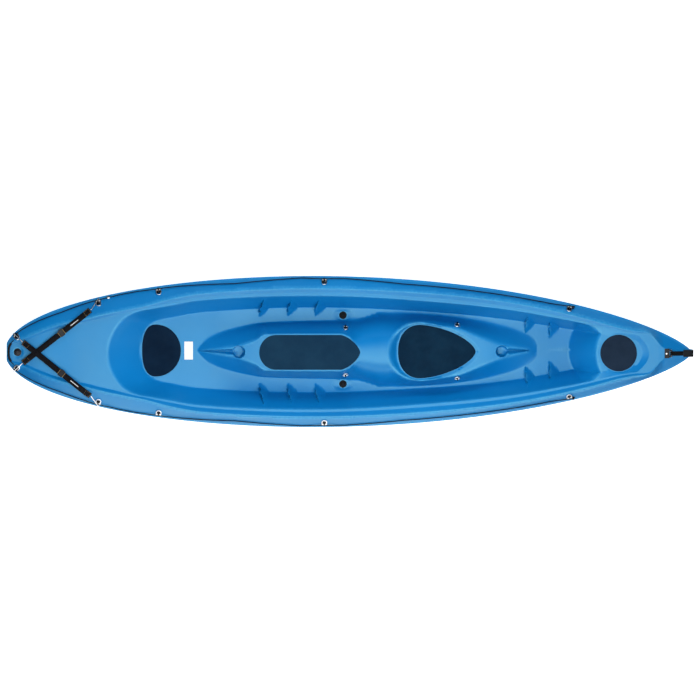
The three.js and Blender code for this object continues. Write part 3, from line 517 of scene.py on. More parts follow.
def tube(path, radius, sides=12, strands=0, pitch=16.0, closed=False):
    """Round cord along a path, with twisted strands if asked."""
    path = np.asarray(path, float)
    side, up = frames_along(path)
    far = np.append(0, np.cumsum(np.linalg.norm(np.diff(path, axis=0), axis=1)))
    turn = np.linspace(0, 2 * math.pi, sides, endpoint=False)
    angle, length = np.meshgrid(turn, far)
    r = np.broadcast_to(np.reshape(radius, (-1, 1)), angle.shape)
    if strands:
        r = r * (0.84 + 0.16 * np.abs(np.cos(strands / 2 * (angle + 2 * math.pi * length / pitch))))
    ring = side[:, None] * (r * np.cos(angle))[..., None] + up[:, None] * (r * np.sin(angle))[..., None]
    return loft((path[:, None] + ring), closed=closed)


def turned(profile, x, y, z, sides=48, wave=None):
    """Turned piece about +Z from (radius, height) points that start and end on the axis or close up."""
    profile = np.array(profile, float)
    turn = np.linspace(0, 2 * math.pi, sides, endpoint=False)
    scale = np.ones((len(profile), sides))
    if wave:
        count, depth, rows = wave
        scale[list(rows)] -= depth * np.maximum(0, np.cos(count * turn))
    rings = [[(x + r * s * math.cos(a), y + r * s * math.sin(a), z + h) for a, s in zip(turn, row)]
             for (r, h), row in zip(profile, scale)]
    hollow = profile[0][0] > 0.01
    return loft(rings, caps=not hollow, closed=hollow)


def strip_section(half, thick, corner, crown=()):
    """Outline of flat webbing with soft edges."""
    low, high, edge = thick * 0.3, thick * 0.7, half - corner
    return [(-half, low), (-half, high), (-edge, thick), *crown, (edge, thick), (half, high), (half, low),
            (edge, 0), (-edge, 0)]


def placed(part, point, along, across, normal):
    """A part made at the origin, put at a point with its axes turned to three directions."""
    verts, faces = part
    axes = np.array([along, across, normal])
    return np.asarray(verts, float) @ axes + point, faces


def on_deck(x, y, heading=0.0):
    """(point, along, across, normal) of the deck at a plan point."""
    sx, sy = slopes(deck_height, np.float64(x), np.float64(y), 6)
    normal = unit(np.array([-sx, -sy, 1.0]))
    along = np.array([math.cos(heading), math.sin(heading), 0])
    along = unit(along - normal * along.dot(normal))
    return np.array([x, y, deck_at(x, y)]), along, np.cross(normal, along), normal


# ---- Materials ----
class Look:
    """A Principled material built up node by node."""

    def __init__(self, name, **values):
        self.material = bpy.data.materials.new(name)
        self.material.use_nodes = True
        self.tree = self.material.node_tree
        self.shader = self.tree.nodes["Principled BSDF"]
        self.place = self.add("TexCoord").outputs["Object"]
        for key, value in values.items():
            self.put(key.replace("_", " ").title().replace("Ior", "IOR"), value)

    def put(self, key, value):
        self.join(self.shader.inputs[key], value)
        return self

    def join(self, socket, value):
        if isinstance(value, bpy.types.NodeSocket):
            self.tree.links.new(value, socket)
        elif isinstance(value, tuple) and len(value) == 3 and socket.type == "RGBA":
            socket.default_value = (*value, 1)
        else:
            socket.default_value = value

    def add(self, kind, inputs=None, **settings):
        node = self.tree.nodes.new("ShaderNode" + kind)
        for key, value in settings.items():
            setattr(node, key, value)
        for key, value in (inputs or {}).items():
            self.join(node.inputs[key], value)
        return node

    def stretched(self, scale, turn=0.0):
        inputs = {"Vector": self.place, "Scale": scale, "Rotation": (0, 0, turn)}
        return self.add("Mapping", inputs).outputs[0]

    def noise(self, scale, detail=3.0, rough=0.5, at=None):
        inputs = {"Vector": at or self.place, "Scale": scale, "Detail": detail, "Roughness": rough}
        return self.add("TexNoise", inputs).outputs["Fac"]

    def cells(self, scale, at=None, feature="F1"):
        inputs = {"Vector": at or self.place, "Scale": scale}
        return self.add("TexVoronoi", inputs, feature=feature).outputs[0]

    def wave(self, scale, direction, at=None, profile="SIN"):
        settings = {"bands_direction": direction, "wave_profile": profile}
        inputs = {"Vector": at or self.place, "Scale": scale}
        return self.add("TexWave", inputs, **settings).outputs["Fac"]

    def span(self, value, low, high, to_low=0.0, to_high=1.0):
        inputs = {"Value": value, 1: low, 2: high, 3: to_low, 4: to_high}
        return self.add("MapRange", inputs).outputs[0]

    def sum(self, a, b, operation="ADD"):
        return self.add("Math", {0: a, 1: b}, operation=operation).outputs[0]

    def blend(self, share, a, b):
        node = self.add("Mix", data_type="RGBA")
        for index, value in ((0, share), (6, a), (7, b)):
            self.join(node.inputs[index], value)
        return node.outputs[2]

    def bump(self, height, distance, strength=1.0, under=None):
        inputs = {"Height": height, "Distance": distance, "Strength": strength}
        if under:
            inputs["Normal"] = under
        return self.add("Bump", inputs).outputs[0]


def moulded_blue(name):
    """Rotomoulded polyethylene: a faint pebbled skin, uneven pigment, fine scratches, and sharp edges
    lightened as a painted highlight.
    """
    look = Look(name)
    pigment = look.blend(look.span(look.noise(2.2, 4), 0.35, 0.65), BLUE_DEEP, BLUE_CLEAR)
    fleck = look.blend(look.span(look.noise(420, 2), 0.6, 0.75, 0, 0.10), pigment, BLUE_FLECK)
    # Painted highlight: sharp edges (high pointiness) are lightened in patches towards the pale blue,
    # standing in for the gloss caught on rounded edges.
    edge = look.add("NewGeometry").outputs["Pointiness"]
    sharp_edge_highlight = look.span(edge, 0.51, 0.58)
    patchy_edge_highlight = look.sum(sharp_edge_highlight, look.span(look.noise(60, 4), 0.3, 0.7, 0.35, 0.8), "MULTIPLY")
    highlighted_pigment = look.blend(patchy_edge_highlight, fleck, BLUE_SCRATCH_AND_EDGE_HIGHLIGHT)
    scratch = look.span(look.noise(14, 5, 0.7, look.stretched((1.2, 26, 8), 0.12)), 0.66, 0.72, 0, 0.22)
    look.put("Base Color", look.blend(scratch, highlighted_pigment, BLUE_SCRATCH_AND_EDGE_HIGHLIGHT))
    rough = look.span(look.noise(9, 5), 0.3, 0.7, 0.32, 0.42)
    look.put("Roughness", look.sum(rough, look.sum(scratch, 0.5, "MULTIPLY")))
    pebble = look.bump(look.cells(520), 0.00012, 0.35)
    ripple = look.bump(look.noise(16, 2), 0.0012, 0.35, pebble)
    look.put("Normal", ripple)
    look.put("IOR", 1.5)
    look.put("Specular Tint", (0.58, 1.0, 0.5, 1.0))
    return look.material


def foam_sheet(name, dark, pale):
    """Closed-cell foam with a pressed diamond grain."""
    look = Look(name)
    grain = look.stretched((1, 1, 1), math.radians(45))
    rows = look.sum(look.wave(95, "X", grain), look.wave(95, "Y", grain), "MULTIPLY")
    pores = look.cells(900)
    patch = look.span(look.noise(9, 5), 0.35, 0.65)
    tint = look.blend(patch, dark, pale)
    # Painted shade: the low grooves of the diamond grain are darkened towards a deeper tone of the foam.
    look.put("Base Color", look.blend(look.span(rows, 0, 1, 0.35, 0), tint, tuple(c * 0.45 for c in dark)))
    look.put("Roughness", look.span(look.noise(40, 3), 0.3, 0.7, 0.8, 0.95))
    look.put("Normal", look.bump(rows, 0.0005, 0.6, look.bump(pores, 0.0002, 0.5)))
    look.put("Specular IOR Level", 0.06)
    return look.material


def webbing(name, along=(1, 0)):
    """Woven webbing: a fine twill that runs along the strap."""
    look = Look(name)
    turn = math.atan2(along[1], along[0])
    lane = look.stretched((1, 1, 1), -turn)
    ribs = look.wave(190, "X", lane)
    ends = look.wave(260, "Y", lane)
    weave = look.sum(ribs, ends, "MULTIPLY")
    fuzz = look.noise(700, 3)
    look.put("Base Color", look.blend(look.sum(weave, fuzz, "MULTIPLY"), WEB_DARK, WEB_PALE))
    look.put("Roughness", look.span(fuzz, 0.3, 0.7, 0.6, 0.8))
    look.put("Normal", look.bump(weave, 0.0006, 0.8, look.bump(fuzz, 0.0002, 0.4)))
    look.put("Specular IOR Level", 0.12)
    return look.material


def grained(name, dark, pale, roughness, scale=420.0, depth=0.0002, **values):
    """Moulded or abraded surface with a fine grain and dull patches."""
    look = Look(name, **values)
    look.put("Base Color", look.blend(look.span(look.noise(scale / 6, 4), 0.3, 0.7), dark, pale))
    low, high = roughness
    look.put("Roughness", look.span(look.noise(scale / 12, 4), 0.3, 0.7, low, high))
    fine = look.bump(look.noise(scale * 2, 2), depth / 2, 0.4)
    look.put("Normal", look.bump(look.cells(scale), depth, 0.5, fine))
    return look.material


WEB_DARK, WEB_PALE = (0.0015, 0.0015, 0.0025), (0.010, 0.010, 0.014)
BLUE_DEEP = (0.0008, 0.154, 0.450)
BLUE_CLEAR = (0.0010, 0.176, 0.495)
BLUE_FLECK = (0.01, 0.24, 0.56)
# Pale blue of the scratches and of the painted highlight on sharp edges.
BLUE_SCRATCH_AND_EDGE_HIGHLIGHT = (0.06, 0.36, 0.66)
LOOKS = {
    "blue": moulded_blue("moulded_blue"),
    # The four pads are one foam; their different tones are painted light and shade, each tinted to how
    # brightly its pad is lit.
    "rear_seat_pad": foam_sheet("foam_rear", (0.0018, 0.0115, 0.031), (0.0034, 0.0175, 0.043)),
    "centre_seat_pad": foam_sheet("foam_centre", (0.0048, 0.029, 0.066), (0.0074, 0.038, 0.080)),
    "front_seat_pad": foam_sheet("foam_front", (0.0014, 0.0155, 0.038), (0.0032, 0.0250, 0.056)),
    "bow_deck_pad": foam_sheet("foam_round", (0.0095, 0.0215, 0.043), (0.0140, 0.0290, 0.056)),
    "black": grained("black_plastic", (0.002, 0.0025, 0.004), (0.005, 0.006, 0.009), (0.35, 0.5),
                     specular_ior_level=0.25),
    "rubber": grained("black_rubber", (0.003, 0.0035, 0.005), (0.008, 0.009, 0.011), (0.6, 0.8),
                      300.0, 0.0003, specular_ior_level=0.15),
    "rope": grained("braided_rope", (0.002, 0.004, 0.010), (0.010, 0.016, 0.030), (0.7, 0.9), 900.0, 0.0003,
                    specular_ior_level=0.1),
    "steel": grained("polished_steel", (0.80, 0.80, 0.80), (0.95, 0.95, 0.95), (0.40, 0.55), 500.0, 0.00004,
                     metallic=1.0),
    "foam": grained("buoyancy_foam", (0.72, 0.72, 0.69), (0.86, 0.86, 0.83), (0.8, 0.95), 260.0, 0.0008),
    "label": grained("blank_film", (0.80, 0.81, 0.81), (0.88, 0.88, 0.88), (0.35, 0.5), 600.0, 0.00005),
    "thread": grained("tan_thread", (0.20, 0.125, 0.045), (0.42, 0.30, 0.13), (0.6, 0.8), 900.0, 0.0002),
    "white_thread": grained("white_thread", (0.70, 0.70, 0.70), (0.86, 0.86, 0.86), (0.55, 0.7),
                            900.0, 0.0002),
}

# ---- Deck and hull shells ----
LINE_STEP = 7.0
grid_x = np.arange(STERN_X + 1, BOW_X, 5.0)
grid_u = np.arange(0.5, HALF_BEAM + 6, 3.0)


def deck_only(value, low=-1e9, high=1e9, reach=None):
    """Hides a measure outside a range of x, outside the coaming, or beyond its own reach."""
    def masked(x, u):
        z = value(x, u)
        hide = (x < low) | (x > high) | (u > (reach(x, u) if reach else crest_half(x)))
        return np.where(hide, np.nan, z)
    return masked


def lines_of(value, levels, spacing=LINE_STEP, low=-1e9, high=1e9, reach=None):
    found = []
    for level in levels:
        with np.errstate(invalid="ignore"):
            chains = contour(deck_only(value, low, high, reach), level, grid_x, grid_u)
        for chain in chains:
            chain = chain[np.isfinite(chain).all(axis=1)]
            if len(chain) > 3 and np.hypot(*np.diff(chain, axis=0).T).sum() > 12:
                found.append(resampled(chain, spacing))
    return found


def half_outline(spacing):
    """Closed half plan: the middle line, the bow end, the beam curve and the stern end."""
    dense = np.linspace(BOW_X, STERN_X, 4000)
    side = resampled(np.column_stack([dense, half_beam(dense)]), spacing)
    middle = resampled([(STERN_X, 0), (BOW_X, 0)], spacing)
    bow = resampled([(BOW_X, 0), tuple(side[0])], spacing)
    stern = resampled([tuple(side[-1]), (STERN_X, 0)], spacing)
    return np.vstack([middle[:-1], bow[:-1], side[:-1], stern])


def side_line(offset, spacing, low=STERN_X + 15, high=BOW_X - 6):
    """Line at a distance inside the beam curve."""
    dense = np.linspace(low, high, 4000)
    return resampled(np.column_stack([dense, half_beam(dense) - offset]), spacing)


def shell(name, plan, tris, top, bottom, height, nodes, outer="top"):
    """Closed shell between two heights over a plan mesh, shaded by the slope of its show face."""
    body = closed_between(plan, tris, top, bottom)
    obj = piece(name, [body], "blue", nodes=nodes, sharp=40)
    sx, sy = slopes(height, plan[:, 0], plan[:, 1])
    normals = unit(np.column_stack([-sx, -sy, np.ones(len(plan))]))
    loops = np.zeros((len(obj.data.loops), 3))
    if outer == "top":
        loops[:3 * len(tris)] = normals[tris.ravel()]
    else:
        loops[3 * len(tris):6 * len(tris)] = -normals[tris[:, ::-1].ravel()]
    obj.data.normals_split_custom_set(loops.tolist())
    return obj


def whole_deck(x, u):
    return half_beam(x) + 0 * u


deck_lines = lines_of(bevel_share, (BEVEL_ROUND, 1 - BEVEL_ROUND, 1 + BEVEL_ROUND), reach=whole_deck)
deck_lines += lines_of(lambda x, u: crest_half(x) - u, (-0.5,), reach=whole_deck)
deck_lines += lines_of(cockpit, (-WALL_ROUND, 0.0, WALL_ROUND, 1 - WALL_ROUND, 1.0, 1 + WALL_ROUND))
deck_lines += lines_of(hump_side, (-0.1, 0.0, 0.1, 0.9, 1.0, 1.1), low=-868, high=1074)
deck_lines += lines_of(bow_step, (-WALL_ROUND, WALL_ROUND, 1 - WALL_ROUND, 1 + WALL_ROUND),
                       low=1200, high=1560)
for pad in PADS.values():
    deck_lines += lines_of(lambda x, u: pad_edges(pad, x, u)[0], (0.985, 1.0))
    deck_lines += lines_of(lambda x, u: pad_edges(pad, x, u)[1], (1.0, 1.02))
for cup in CUPS:
    deck_lines += lines_of(lambda x, u: round_reach(cup, x, u), (1 / CUP_FOOT, 0.95, 1.0, 1.06), 4.0)
    ends = sorted((cup["x"], cup["tip"]))
    deck_lines += lines_of(lambda x, u: u - cup["half"] * np.clip(1 - channel_run(cup, x), 0, 1), (-0.2,),
                           6.0, low=ends[0], high=ends[1], reach=lambda x, u: 30 + 0 * x)
deck_lines += lines_of(scupper_oval, (1 / SCUPPER_FOOT, 1.0), 4.0)
deck_lines += lines_of(scupper_seat, (1.0,), 4.0)
for rib in RIBS:
    near = {"low": rib["x"] - 12, "high": rib["x"] + 110}
    deck_lines += lines_of(lambda x, u: rib_stand(rib, x, u), (0.0,), 5.0, **near)
    deck_lines += lines_of(lambda x, u: np.where(rib_stand(rib, x, u) > -4, rib_place(rib, x, u)[0], np.nan),
                           (-2.0, 0.0), 5.0, **near)
deck_lines += lines_of(lambda x, u: round_reach(DRAIN, x, u), (1 / DRAIN_FOOT, 1.0), 4.0)
deck_lines += [side_line(FLANGE, 9.0), side_line(FLANGE + 1.5, 9.0)]
SCUPPER_HOLE = (SCUPPER["x"], SCUPPER["y"], SCUPPER["hole"])

plan, tris = both_halves(*plan_mesh(deck_lines, half_outline(8.0), 11.0,
                                    [SCUPPER_HOLE, (DRAIN["x"], 0.0, DRAIN["hole"])]))
x, y = plan.T
top = deck_height(x, y)
flange = np.abs(y) > half_beam(x) - FLANGE - 0.5
under = np.where(flange, seam_z(x) + GAP / 2, np.minimum(top - wall_drop(deck_height, x, y), top - 2))
shell("deck", plan, tris, top, under, deck_height, ["deck_shell"])

HULL_LINES = (0.2, 0.22, 0.38, 0.54, 0.75, 0.9)
hull_lines = [side_line(FLANGE, 14.0), side_line(FLANGE + 1.5, 14.0)]
for share in HULL_LINES:
    dense = np.linspace(STERN_X + 15, BOW_X - 8, 2000)
    hull_lines.append(resampled(np.column_stack([dense, share * half_beam(dense)]), 14.0))
plan, tris = both_halves(*plan_mesh(hull_lines, half_outline(12.0), 20.0, [SCUPPER_HOLE]))
x, y = plan.T
outside = hull_height(x, y)
flange = np.abs(y) > half_beam(x) - FLANGE - 0.5
lining = np.minimum(outside + wall_drop(hull_height, x, y), seam_z(x) - SEAM_GAP - 1)
lining = np.where(flange, seam_z(x) - SEAM_GAP, lining)
shell("hull", plan, tris, lining, outside, hull_height, ["hull_shell"], "bottom")

# ---- Foam pads ----
PAD_ROUND = 3.2
PAD_CROWN = 1.2
PAD_EDGE = 1.2


def pad_outline(pad, grow, spacing):
    """Half of a pad's outline, from its bow end to its stern end."""
    def quarter(cx, reach, n, low, high):
        turn = np.linspace(low, high, 400)
        c, s = np.cos(turn), np.sin(turn)
        along = np.sign(c) * np.abs(c) ** (2 / n) * (reach + grow)
        return np.column_stack([cx + along, np.abs(s) ** (2 / n) * (pad["half"] + grow)])
    fore = quarter(pad["x2"], pad["fore"], pad["n"][1], 0, math.pi / 2)
    aft = quarter(pad["x"], pad["aft"], pad["n"][0], math.pi / 2, math.pi)
    return resampled(np.vstack([fore, aft]), spacing)


def outline_inset(pad, reach, x, u, step=0.5):
    """Distance inside a pad's outline, from its measure and that measure's slope."""
    def at(x, u):
        return pad_reach(pad, x, np.abs(u), (0, 0, 0))
    rate = np.hypot(at(x + step, u) - at(x - step, u), at(x, u + step) - at(x, u - step)) / (2 * step)
    return (1 - reach) / np.maximum(rate, 1e-4)


for name, pad in PADS.items():
    side = pad_outline(pad, 0, 5.0)
    side[0, 1] = side[-1, 1] = 0
    middle = resampled([tuple(side[-1]), tuple(side[0])], 6.0)
    outline = np.vstack([middle[:-1], side])
    insets = [pad_outline(pad, -inset, 5.0) for inset in (0.8, 2.0, PAD_ROUND, 6.0)]
    plan, tris = both_halves(*plan_mesh([line[1:-1] for line in insets], outline, 9.0))
    x, u = plan[:, 0], np.abs(plan[:, 1])
    reach = pad_reach(pad, x, u, (0, 0, 0))
    inset = np.clip(outline_inset(pad, reach, x, u), 0, PAD_ROUND) / PAD_ROUND
    edge = np.sqrt(np.clip(1 - (1 - inset) ** 2, 0, 1))
    low = pad["z"] + GAP
    crown = PAD_CROWN * np.clip(1 - reach ** 2, 0, 1)
    top = low + PAD_EDGE + (PAD_THICK - PAD_EDGE - PAD_CROWN) * edge + crown
    foam = closed_between(plan, tris, top, low)
    obj = piece(name + "_foam", [foam], name, nodes=[name])

# ---- Pad eyes: a moulded plate and arch, two screws, and a bright steel ring laid inboard as a painted highlight ----
EYE = {"long": 28, "wide": 38, "thick": 4, "arch": 12, "rise": 13, "bar": 3, "inset": 24}
# Painted highlight ring: half width, reach inboard and wire radius.
EYE_GLINT_RING = {"half": 13, "reach": 30, "wire": 2.7}
EYE_SCREW_X = 8.2
GUNWALE_EYES = {"stern": -1896, "strap": -1430, "rear": -1087, "mid": -146, "bow": 1246}
BACKREST_EYES = {"rear": (-26, 135), "front": (608, 152)}
SIDES = (("port", 1), ("starboard", -1))


def stadium(half_x, half_y, count=12):
    """Outline with straight sides and round ends across Y."""
    turn = np.linspace(0, math.pi, count)
    cap = np.column_stack([half_x * np.cos(turn), half_y - half_x + half_x * np.sin(turn)])
    return np.vstack([cap, -cap])


def eye_plate():
    half_x, half_y, thick = (EYE["long"] - 4) / 2, EYE["wide"] / 2, EYE["thick"]
    profile = [(0, 0.2), (0, thick - 1.2), (0.35, thick - 0.4), (1.2, thick)]
    outlines = [(stadium(half_x - inset, half_y - inset), z) for inset, z in profile]
    return loft([np.column_stack([outline, np.full(len(outline), z)]) for outline, z in outlines])


def eye_arch():
    turn = np.linspace(0, math.pi, 17)
    path = np.column_stack([0 * turn, EYE["arch"] * np.cos(turn), 1 + EYE["rise"] * np.sin(turn)])
    flare = EYE["bar"] * (1 + 0.35 * np.cos(turn) ** 8)
    return tube(path, flare, 12)


def screw(x, y, z, r=3.1):
    """Pan-head screw with a round recess in its head."""
    head = [(0, 0), (r, 0), (r, 0.5), (r * 0.85, 1.3), (r * 0.5, 1.8), (r * 0.28, 1.85), (r * 0.22, 1.2),
            (0, 1.1)]
    return turned(head, x, y, z, 16)


# Painted highlight: a U of bright steel wire on the plate's inboard end stands in for the gloss on the eye's
# moulding.
def eye_glint_ring(inboard):
    half, reach = EYE_GLINT_RING["half"], EYE_GLINT_RING["reach"]
    turn = np.linspace(0, math.pi, 13)
    end = np.column_stack([half * np.cos(turn), (reach - half) + half * np.sin(turn)])
    path = np.vstack([[(half, -4)], [(half, 2)], end, [(-half, 2)], [(-half, -4)]])
    lift = np.interp(path[:, 1], [-4, 2, reach], [5.4, 6.4, 4.0])
    bar = tube(np.column_stack([[-half - 1, half + 1], [-4, -4], [5.4, 5.4]]), EYE_GLINT_RING["wire"], 10)
    parts = [tube(np.column_stack([path[:, 0], path[:, 1], lift]), EYE_GLINT_RING["wire"], 10), bar]
    flip = np.array([1, inboard, 1])
    return [(verts * flip, faces if inboard > 0 else [f[::-1] for f in faces]) for verts, faces in parts]


def gunwale_y(x):
    return float(half_beam(np.float64(x))) - EYE["inset"]


def gunwale_heading(x):
    return math.atan2(gunwale_y(x + 20) - gunwale_y(x - 20), 40)


def add_eye(node, x, y, heading):
    point, *axes = on_deck(x, y, heading)
    inboard = -1 if y > 0 else 1
    made = [placed(part, point, *axes) for part in (eye_plate(), eye_arch())]
    piece(node + "_moulding", made, "black", nodes=[node])
    bright = [screw(side * EYE_SCREW_X, 0, EYE["thick"]) for side in (-1, 1)] + eye_glint_ring(inboard)
    piece(node + "_steel", [placed(part, point, *axes) for part in bright], "steel")


for side, sign in SIDES:
    for place, x in GUNWALE_EYES.items():
        add_eye(f"pad_eye_{place}_{side}", x, sign * gunwale_y(x), sign * gunwale_heading(x))
    for place, (x, y) in BACKREST_EYES.items():
        add_eye(f"backrest_eye_{place}_{side}", x, sign * y, 0)

# ---- Perimeter ropes ----
ROPE_R, ROPE_REST, ROPE_IN_EYE = 2.8, 4.2, 7.6
ROPE_AT_EYE = 20
ROPE_INSET = [(-1896, 20), (-1640, 26), (-1440, 14), (-1090, 12), (-650, 29), (-280, 12), (-60, 12),
              (300, 27), (1246, 25)]
KNOT_SIZE = 2.5
BEAD = {"x": -1371, "r": 8, "half": 8}


def rope_route(sign):
    """Middle of the rope: held by each eye and lying on the gunwale in between."""
    eyes = list(GUNWALE_EYES.values())
    corners = eyes[:-1] + [eyes[-1] + 18]
    at = np.arange(corners[0], corners[-1], 2.6)
    near = np.min([np.abs(at - eye) for eye in eyes], axis=0)
    away = np.interp(at, *zip(*ROPE_INSET))
    y = half_beam(at) - mix(ROPE_AT_EYE, away, np.clip(near / 120, 0, 1) ** 0.7)
    lift = mix(ROPE_IN_EYE, ROPE_REST, np.clip((near - 20) / 60, 0, 1))
    sx, sy = slopes(deck_height, at, y, 6)
    normal = unit(np.column_stack([-sx, -sy, np.ones(len(at))]))
    route = np.column_stack([at, y, deck_height(at, y)]) + normal * lift[:, None]
    return route * [1, sign, 1]


def knot(point):
    """Overhand stopper knot."""
    t = np.linspace(0, 2 * math.pi, 48, endpoint=False)
    path = np.column_stack([np.sin(t) + 2 * np.sin(2 * t), np.cos(t) - 2 * np.cos(2 * t), -np.sin(3 * t)])
    return tube(path * KNOT_SIZE + point, ROPE_R, 8, closed=True)


for side, sign in SIDES:
    route = rope_route(sign)
    rope = [tube(route, ROPE_R, 12, 3, 18.0), knot(route[0] + [4, -sign * 3, 2]), knot(route[-1] + [3, 0, 1])]
    piece(f"rope_{side}", rope, "rope", nodes=[f"perimeter_rope_{side}"])
route = rope_route(1)
i = int(np.argmin(np.abs(route[:, 0] - BEAD["x"])))
along = unit(route[i + 1] - route[i - 1])
across = unit(np.cross([0, 0, 1.0], along))
r, half = BEAD["r"], BEAD["half"]
barrel = [(ROPE_R + 0.3, -half), (r - 2.4, -half), (r - 1, -half + 1.4), (r, -half / 3), (r, half / 3),
          (r - 1, half - 1.4), (r - 2.4, half), (ROPE_R + 0.3, half)]
bead = placed(turned(barrel, 0, 0, 0, 24), route[i] + [0, 0, 2], np.cross(across, along), across, along)
piece("rope_bead", [bead], "steel", nodes=["rope_bead_port"])

# ---- Cargo straps ----
STRAP = {"aft": (-1857, 60), "fore": (-1475, 245), "wide": 33, "thick": 2.2, "clear": 3}
BUCKLE = {"at": 280, "long": 26}
strap_run = np.array([STRAP["fore"][0] - STRAP["aft"][0], STRAP["fore"][1] + STRAP["aft"][1]], float)
strap_length = float(np.hypot(*strap_run))
strap_along = strap_run / strap_length
HEM = 42.0
TAG = {"low": 346, "high": 402, "half": 1.6}


def strap_points(s, sign):
    x, y = STRAP["aft"]
    return np.column_stack([x + s * strap_along[0], sign * (s * strap_along[1] - y)])


def strap_line(sign, clear):
    """Height of the strap's underside along it: the taut line over the deck below."""
    s = np.linspace(0, strap_length, 97)
    plan = strap_points(s, sign)
    off = np.array([-1, 0, 1]) * STRAP["wide"] / 2
    x = plan[:, 0, None] - off * strap_along[1] * sign
    y = plan[:, 1, None] + off * strap_along[0]
    level = deck_height(x, y).max(axis=1) + clear
    hull = []
    for point in zip(s, level):
        while len(hull) > 1:
            (ax, az), (bx, bz) = hull[-2:]
            if (bx - ax) * (point[1] - az) - (bz - az) * (point[0] - ax) < 0:
                break
            hull.pop()
        hull.append(point)
    return np.array(hull)


def band(sign, line, low, high, wide, base, thick, step=6.0):
    """A flat band of webbing on a strap's line, with soft edges."""
    s = np.linspace(low, high, max(int((high - low) / step), 2) + 1)
    z = np.interp(s, line[:, 0], line[:, 1]) + base
    section = strip_section(wide / 2, thick, 0.7, [(0, thick * 1.03)])
    plan = strap_points(s, sign)
    rings = [[(px - off * strap_along[1] * sign, py + off * strap_along[0], h + up) for off, up in section]
             for (px, py), h in zip(plan, z)]
    return loft(rings)


def stitches(sign, line, rows, base, long=2.6, r=0.45):
    """Raised threads at (distance along, distance across, 1 for a thread that lies across the strap)."""
    made = []
    for s, off, across in rows:
        (px, py), = strap_points(np.array([s]), sign)
        z = float(np.interp(s, line[:, 0], line[:, 1])) + base
        middle = np.array([px - off * strap_along[1] * sign, py + off * strap_along[0], z])
        ahead, out = strap_along[0], strap_along[1] * sign
        half = np.array([-out, ahead, 0] if across else [ahead, out, 0]) * long / 2
        arch = np.array([0, 0, r])
        run = ((-1, -1), (-0.6, 0.4), (0.6, 0.4), (1, -1))
        made.append(tube([middle + half * share + arch * rise for share, rise in run], r, 5))
    return made


def bartack(s):
    return [(s + shift, off, 1) for shift in (-0.6, 0.6) for off in np.arange(-14.5, 14.6, 3.0)]


def hem_box(low, high):
    rows = [(s, off, 0) for s in np.arange(low + 2, high - 1, 3.6) for off in (-13, 13)]
    return rows + [(s, off, 1) for s in (low + 1, high - 1) for off in np.arange(-11, 11.5, 3.6)]


def smooth_path(points, count=24):
    """Catmull-Rom curve through points."""
    points = np.asarray(points, float)
    full = np.vstack([2 * points[0] - points[1], points, 2 * points[-1] - points[-2]])
    out = []
    for i in range(1, len(full) - 2):
        a, b, c, d = full[i - 1:i + 3]
        for t in np.linspace(0, 1, count // (len(points) - 1) + 1)[:-1]:
            bend = 2 * a - 5 * b + 4 * c - d + t * (3 * (b - c) + d - a)
            out.append(b + 0.5 * t * (c - a + t * bend))
    return np.array(out + [points[-1]])


for side, sign in SIDES:
    clear = STRAP["clear"] + (0 if sign > 0 else 6)
    line = strap_line(sign, clear)
    thick = STRAP["thick"]
    LOOKS["web"] = webbing(f"webbing_{side}", (strap_along[0], sign * strap_along[1]))
    layers = [band(sign, line, 0, strap_length, STRAP["wide"], 0, thick),
              band(sign, line, 1, HEM, STRAP["wide"] - 1, thick, 1.6),
              band(sign, line, strap_length - HEM, strap_length - 1, STRAP["wide"] - 1, thick, 1.6)]
    piece(f"strap_{side}_webbing", layers, "web", nodes=[f"cargo_strap_{side}"])
    tack = bartack(BUCKLE["at"] - 17) + bartack(BUCKLE["at"] + 17)
    piece(f"strap_{side}_bartacks", stitches(sign, line, tack, thick + 0.2, 2.9, 0.7), "thread",
          f"buckle_{side}")
    hems = hem_box(4, HEM - 3) + hem_box(strap_length - HEM + 3, strap_length - 4)
    piece(f"strap_{side}_stitching", stitches(sign, line, hems, thick + 1.8), "thread")
    stripe = band(sign, line, TAG["low"], TAG["high"], 2 * TAG["half"], thick, 0.5)
    piece(f"strap_{side}_stripe", [stripe], "white_thread")
    for end, s, eye_x, eye_sign in (("fore", strap_length, GUNWALE_EYES["strap"], sign),
                                    ("aft", 0.0, GUNWALE_EYES["stern"], -sign)):
        point, _, _, normal = on_deck(eye_x, eye_sign * gunwale_y(eye_x), eye_sign * gunwale_heading(eye_x))
        above = point + normal * (EYE["rise"] + 8.5)
        out = np.array([strap_along[0], sign * strap_along[1], 0]) * (1 if s > 0 else -1)
        (px, py), = strap_points(np.array([s]), sign)
        tip = np.array([px, py, float(np.interp(s, line[:, 0], line[:, 1])) + thick / 2]) + out * 3.2
        lip = above + out * 10 + [0, 0, -6]
        hook = smooth_path([tip, tip + out * 8, above, lip])
        piece(f"hook_{end}_{side}", [tube(hook, 2.5, 12)], "steel",
              nodes=[f"strap_hook_{end}_{side}"])

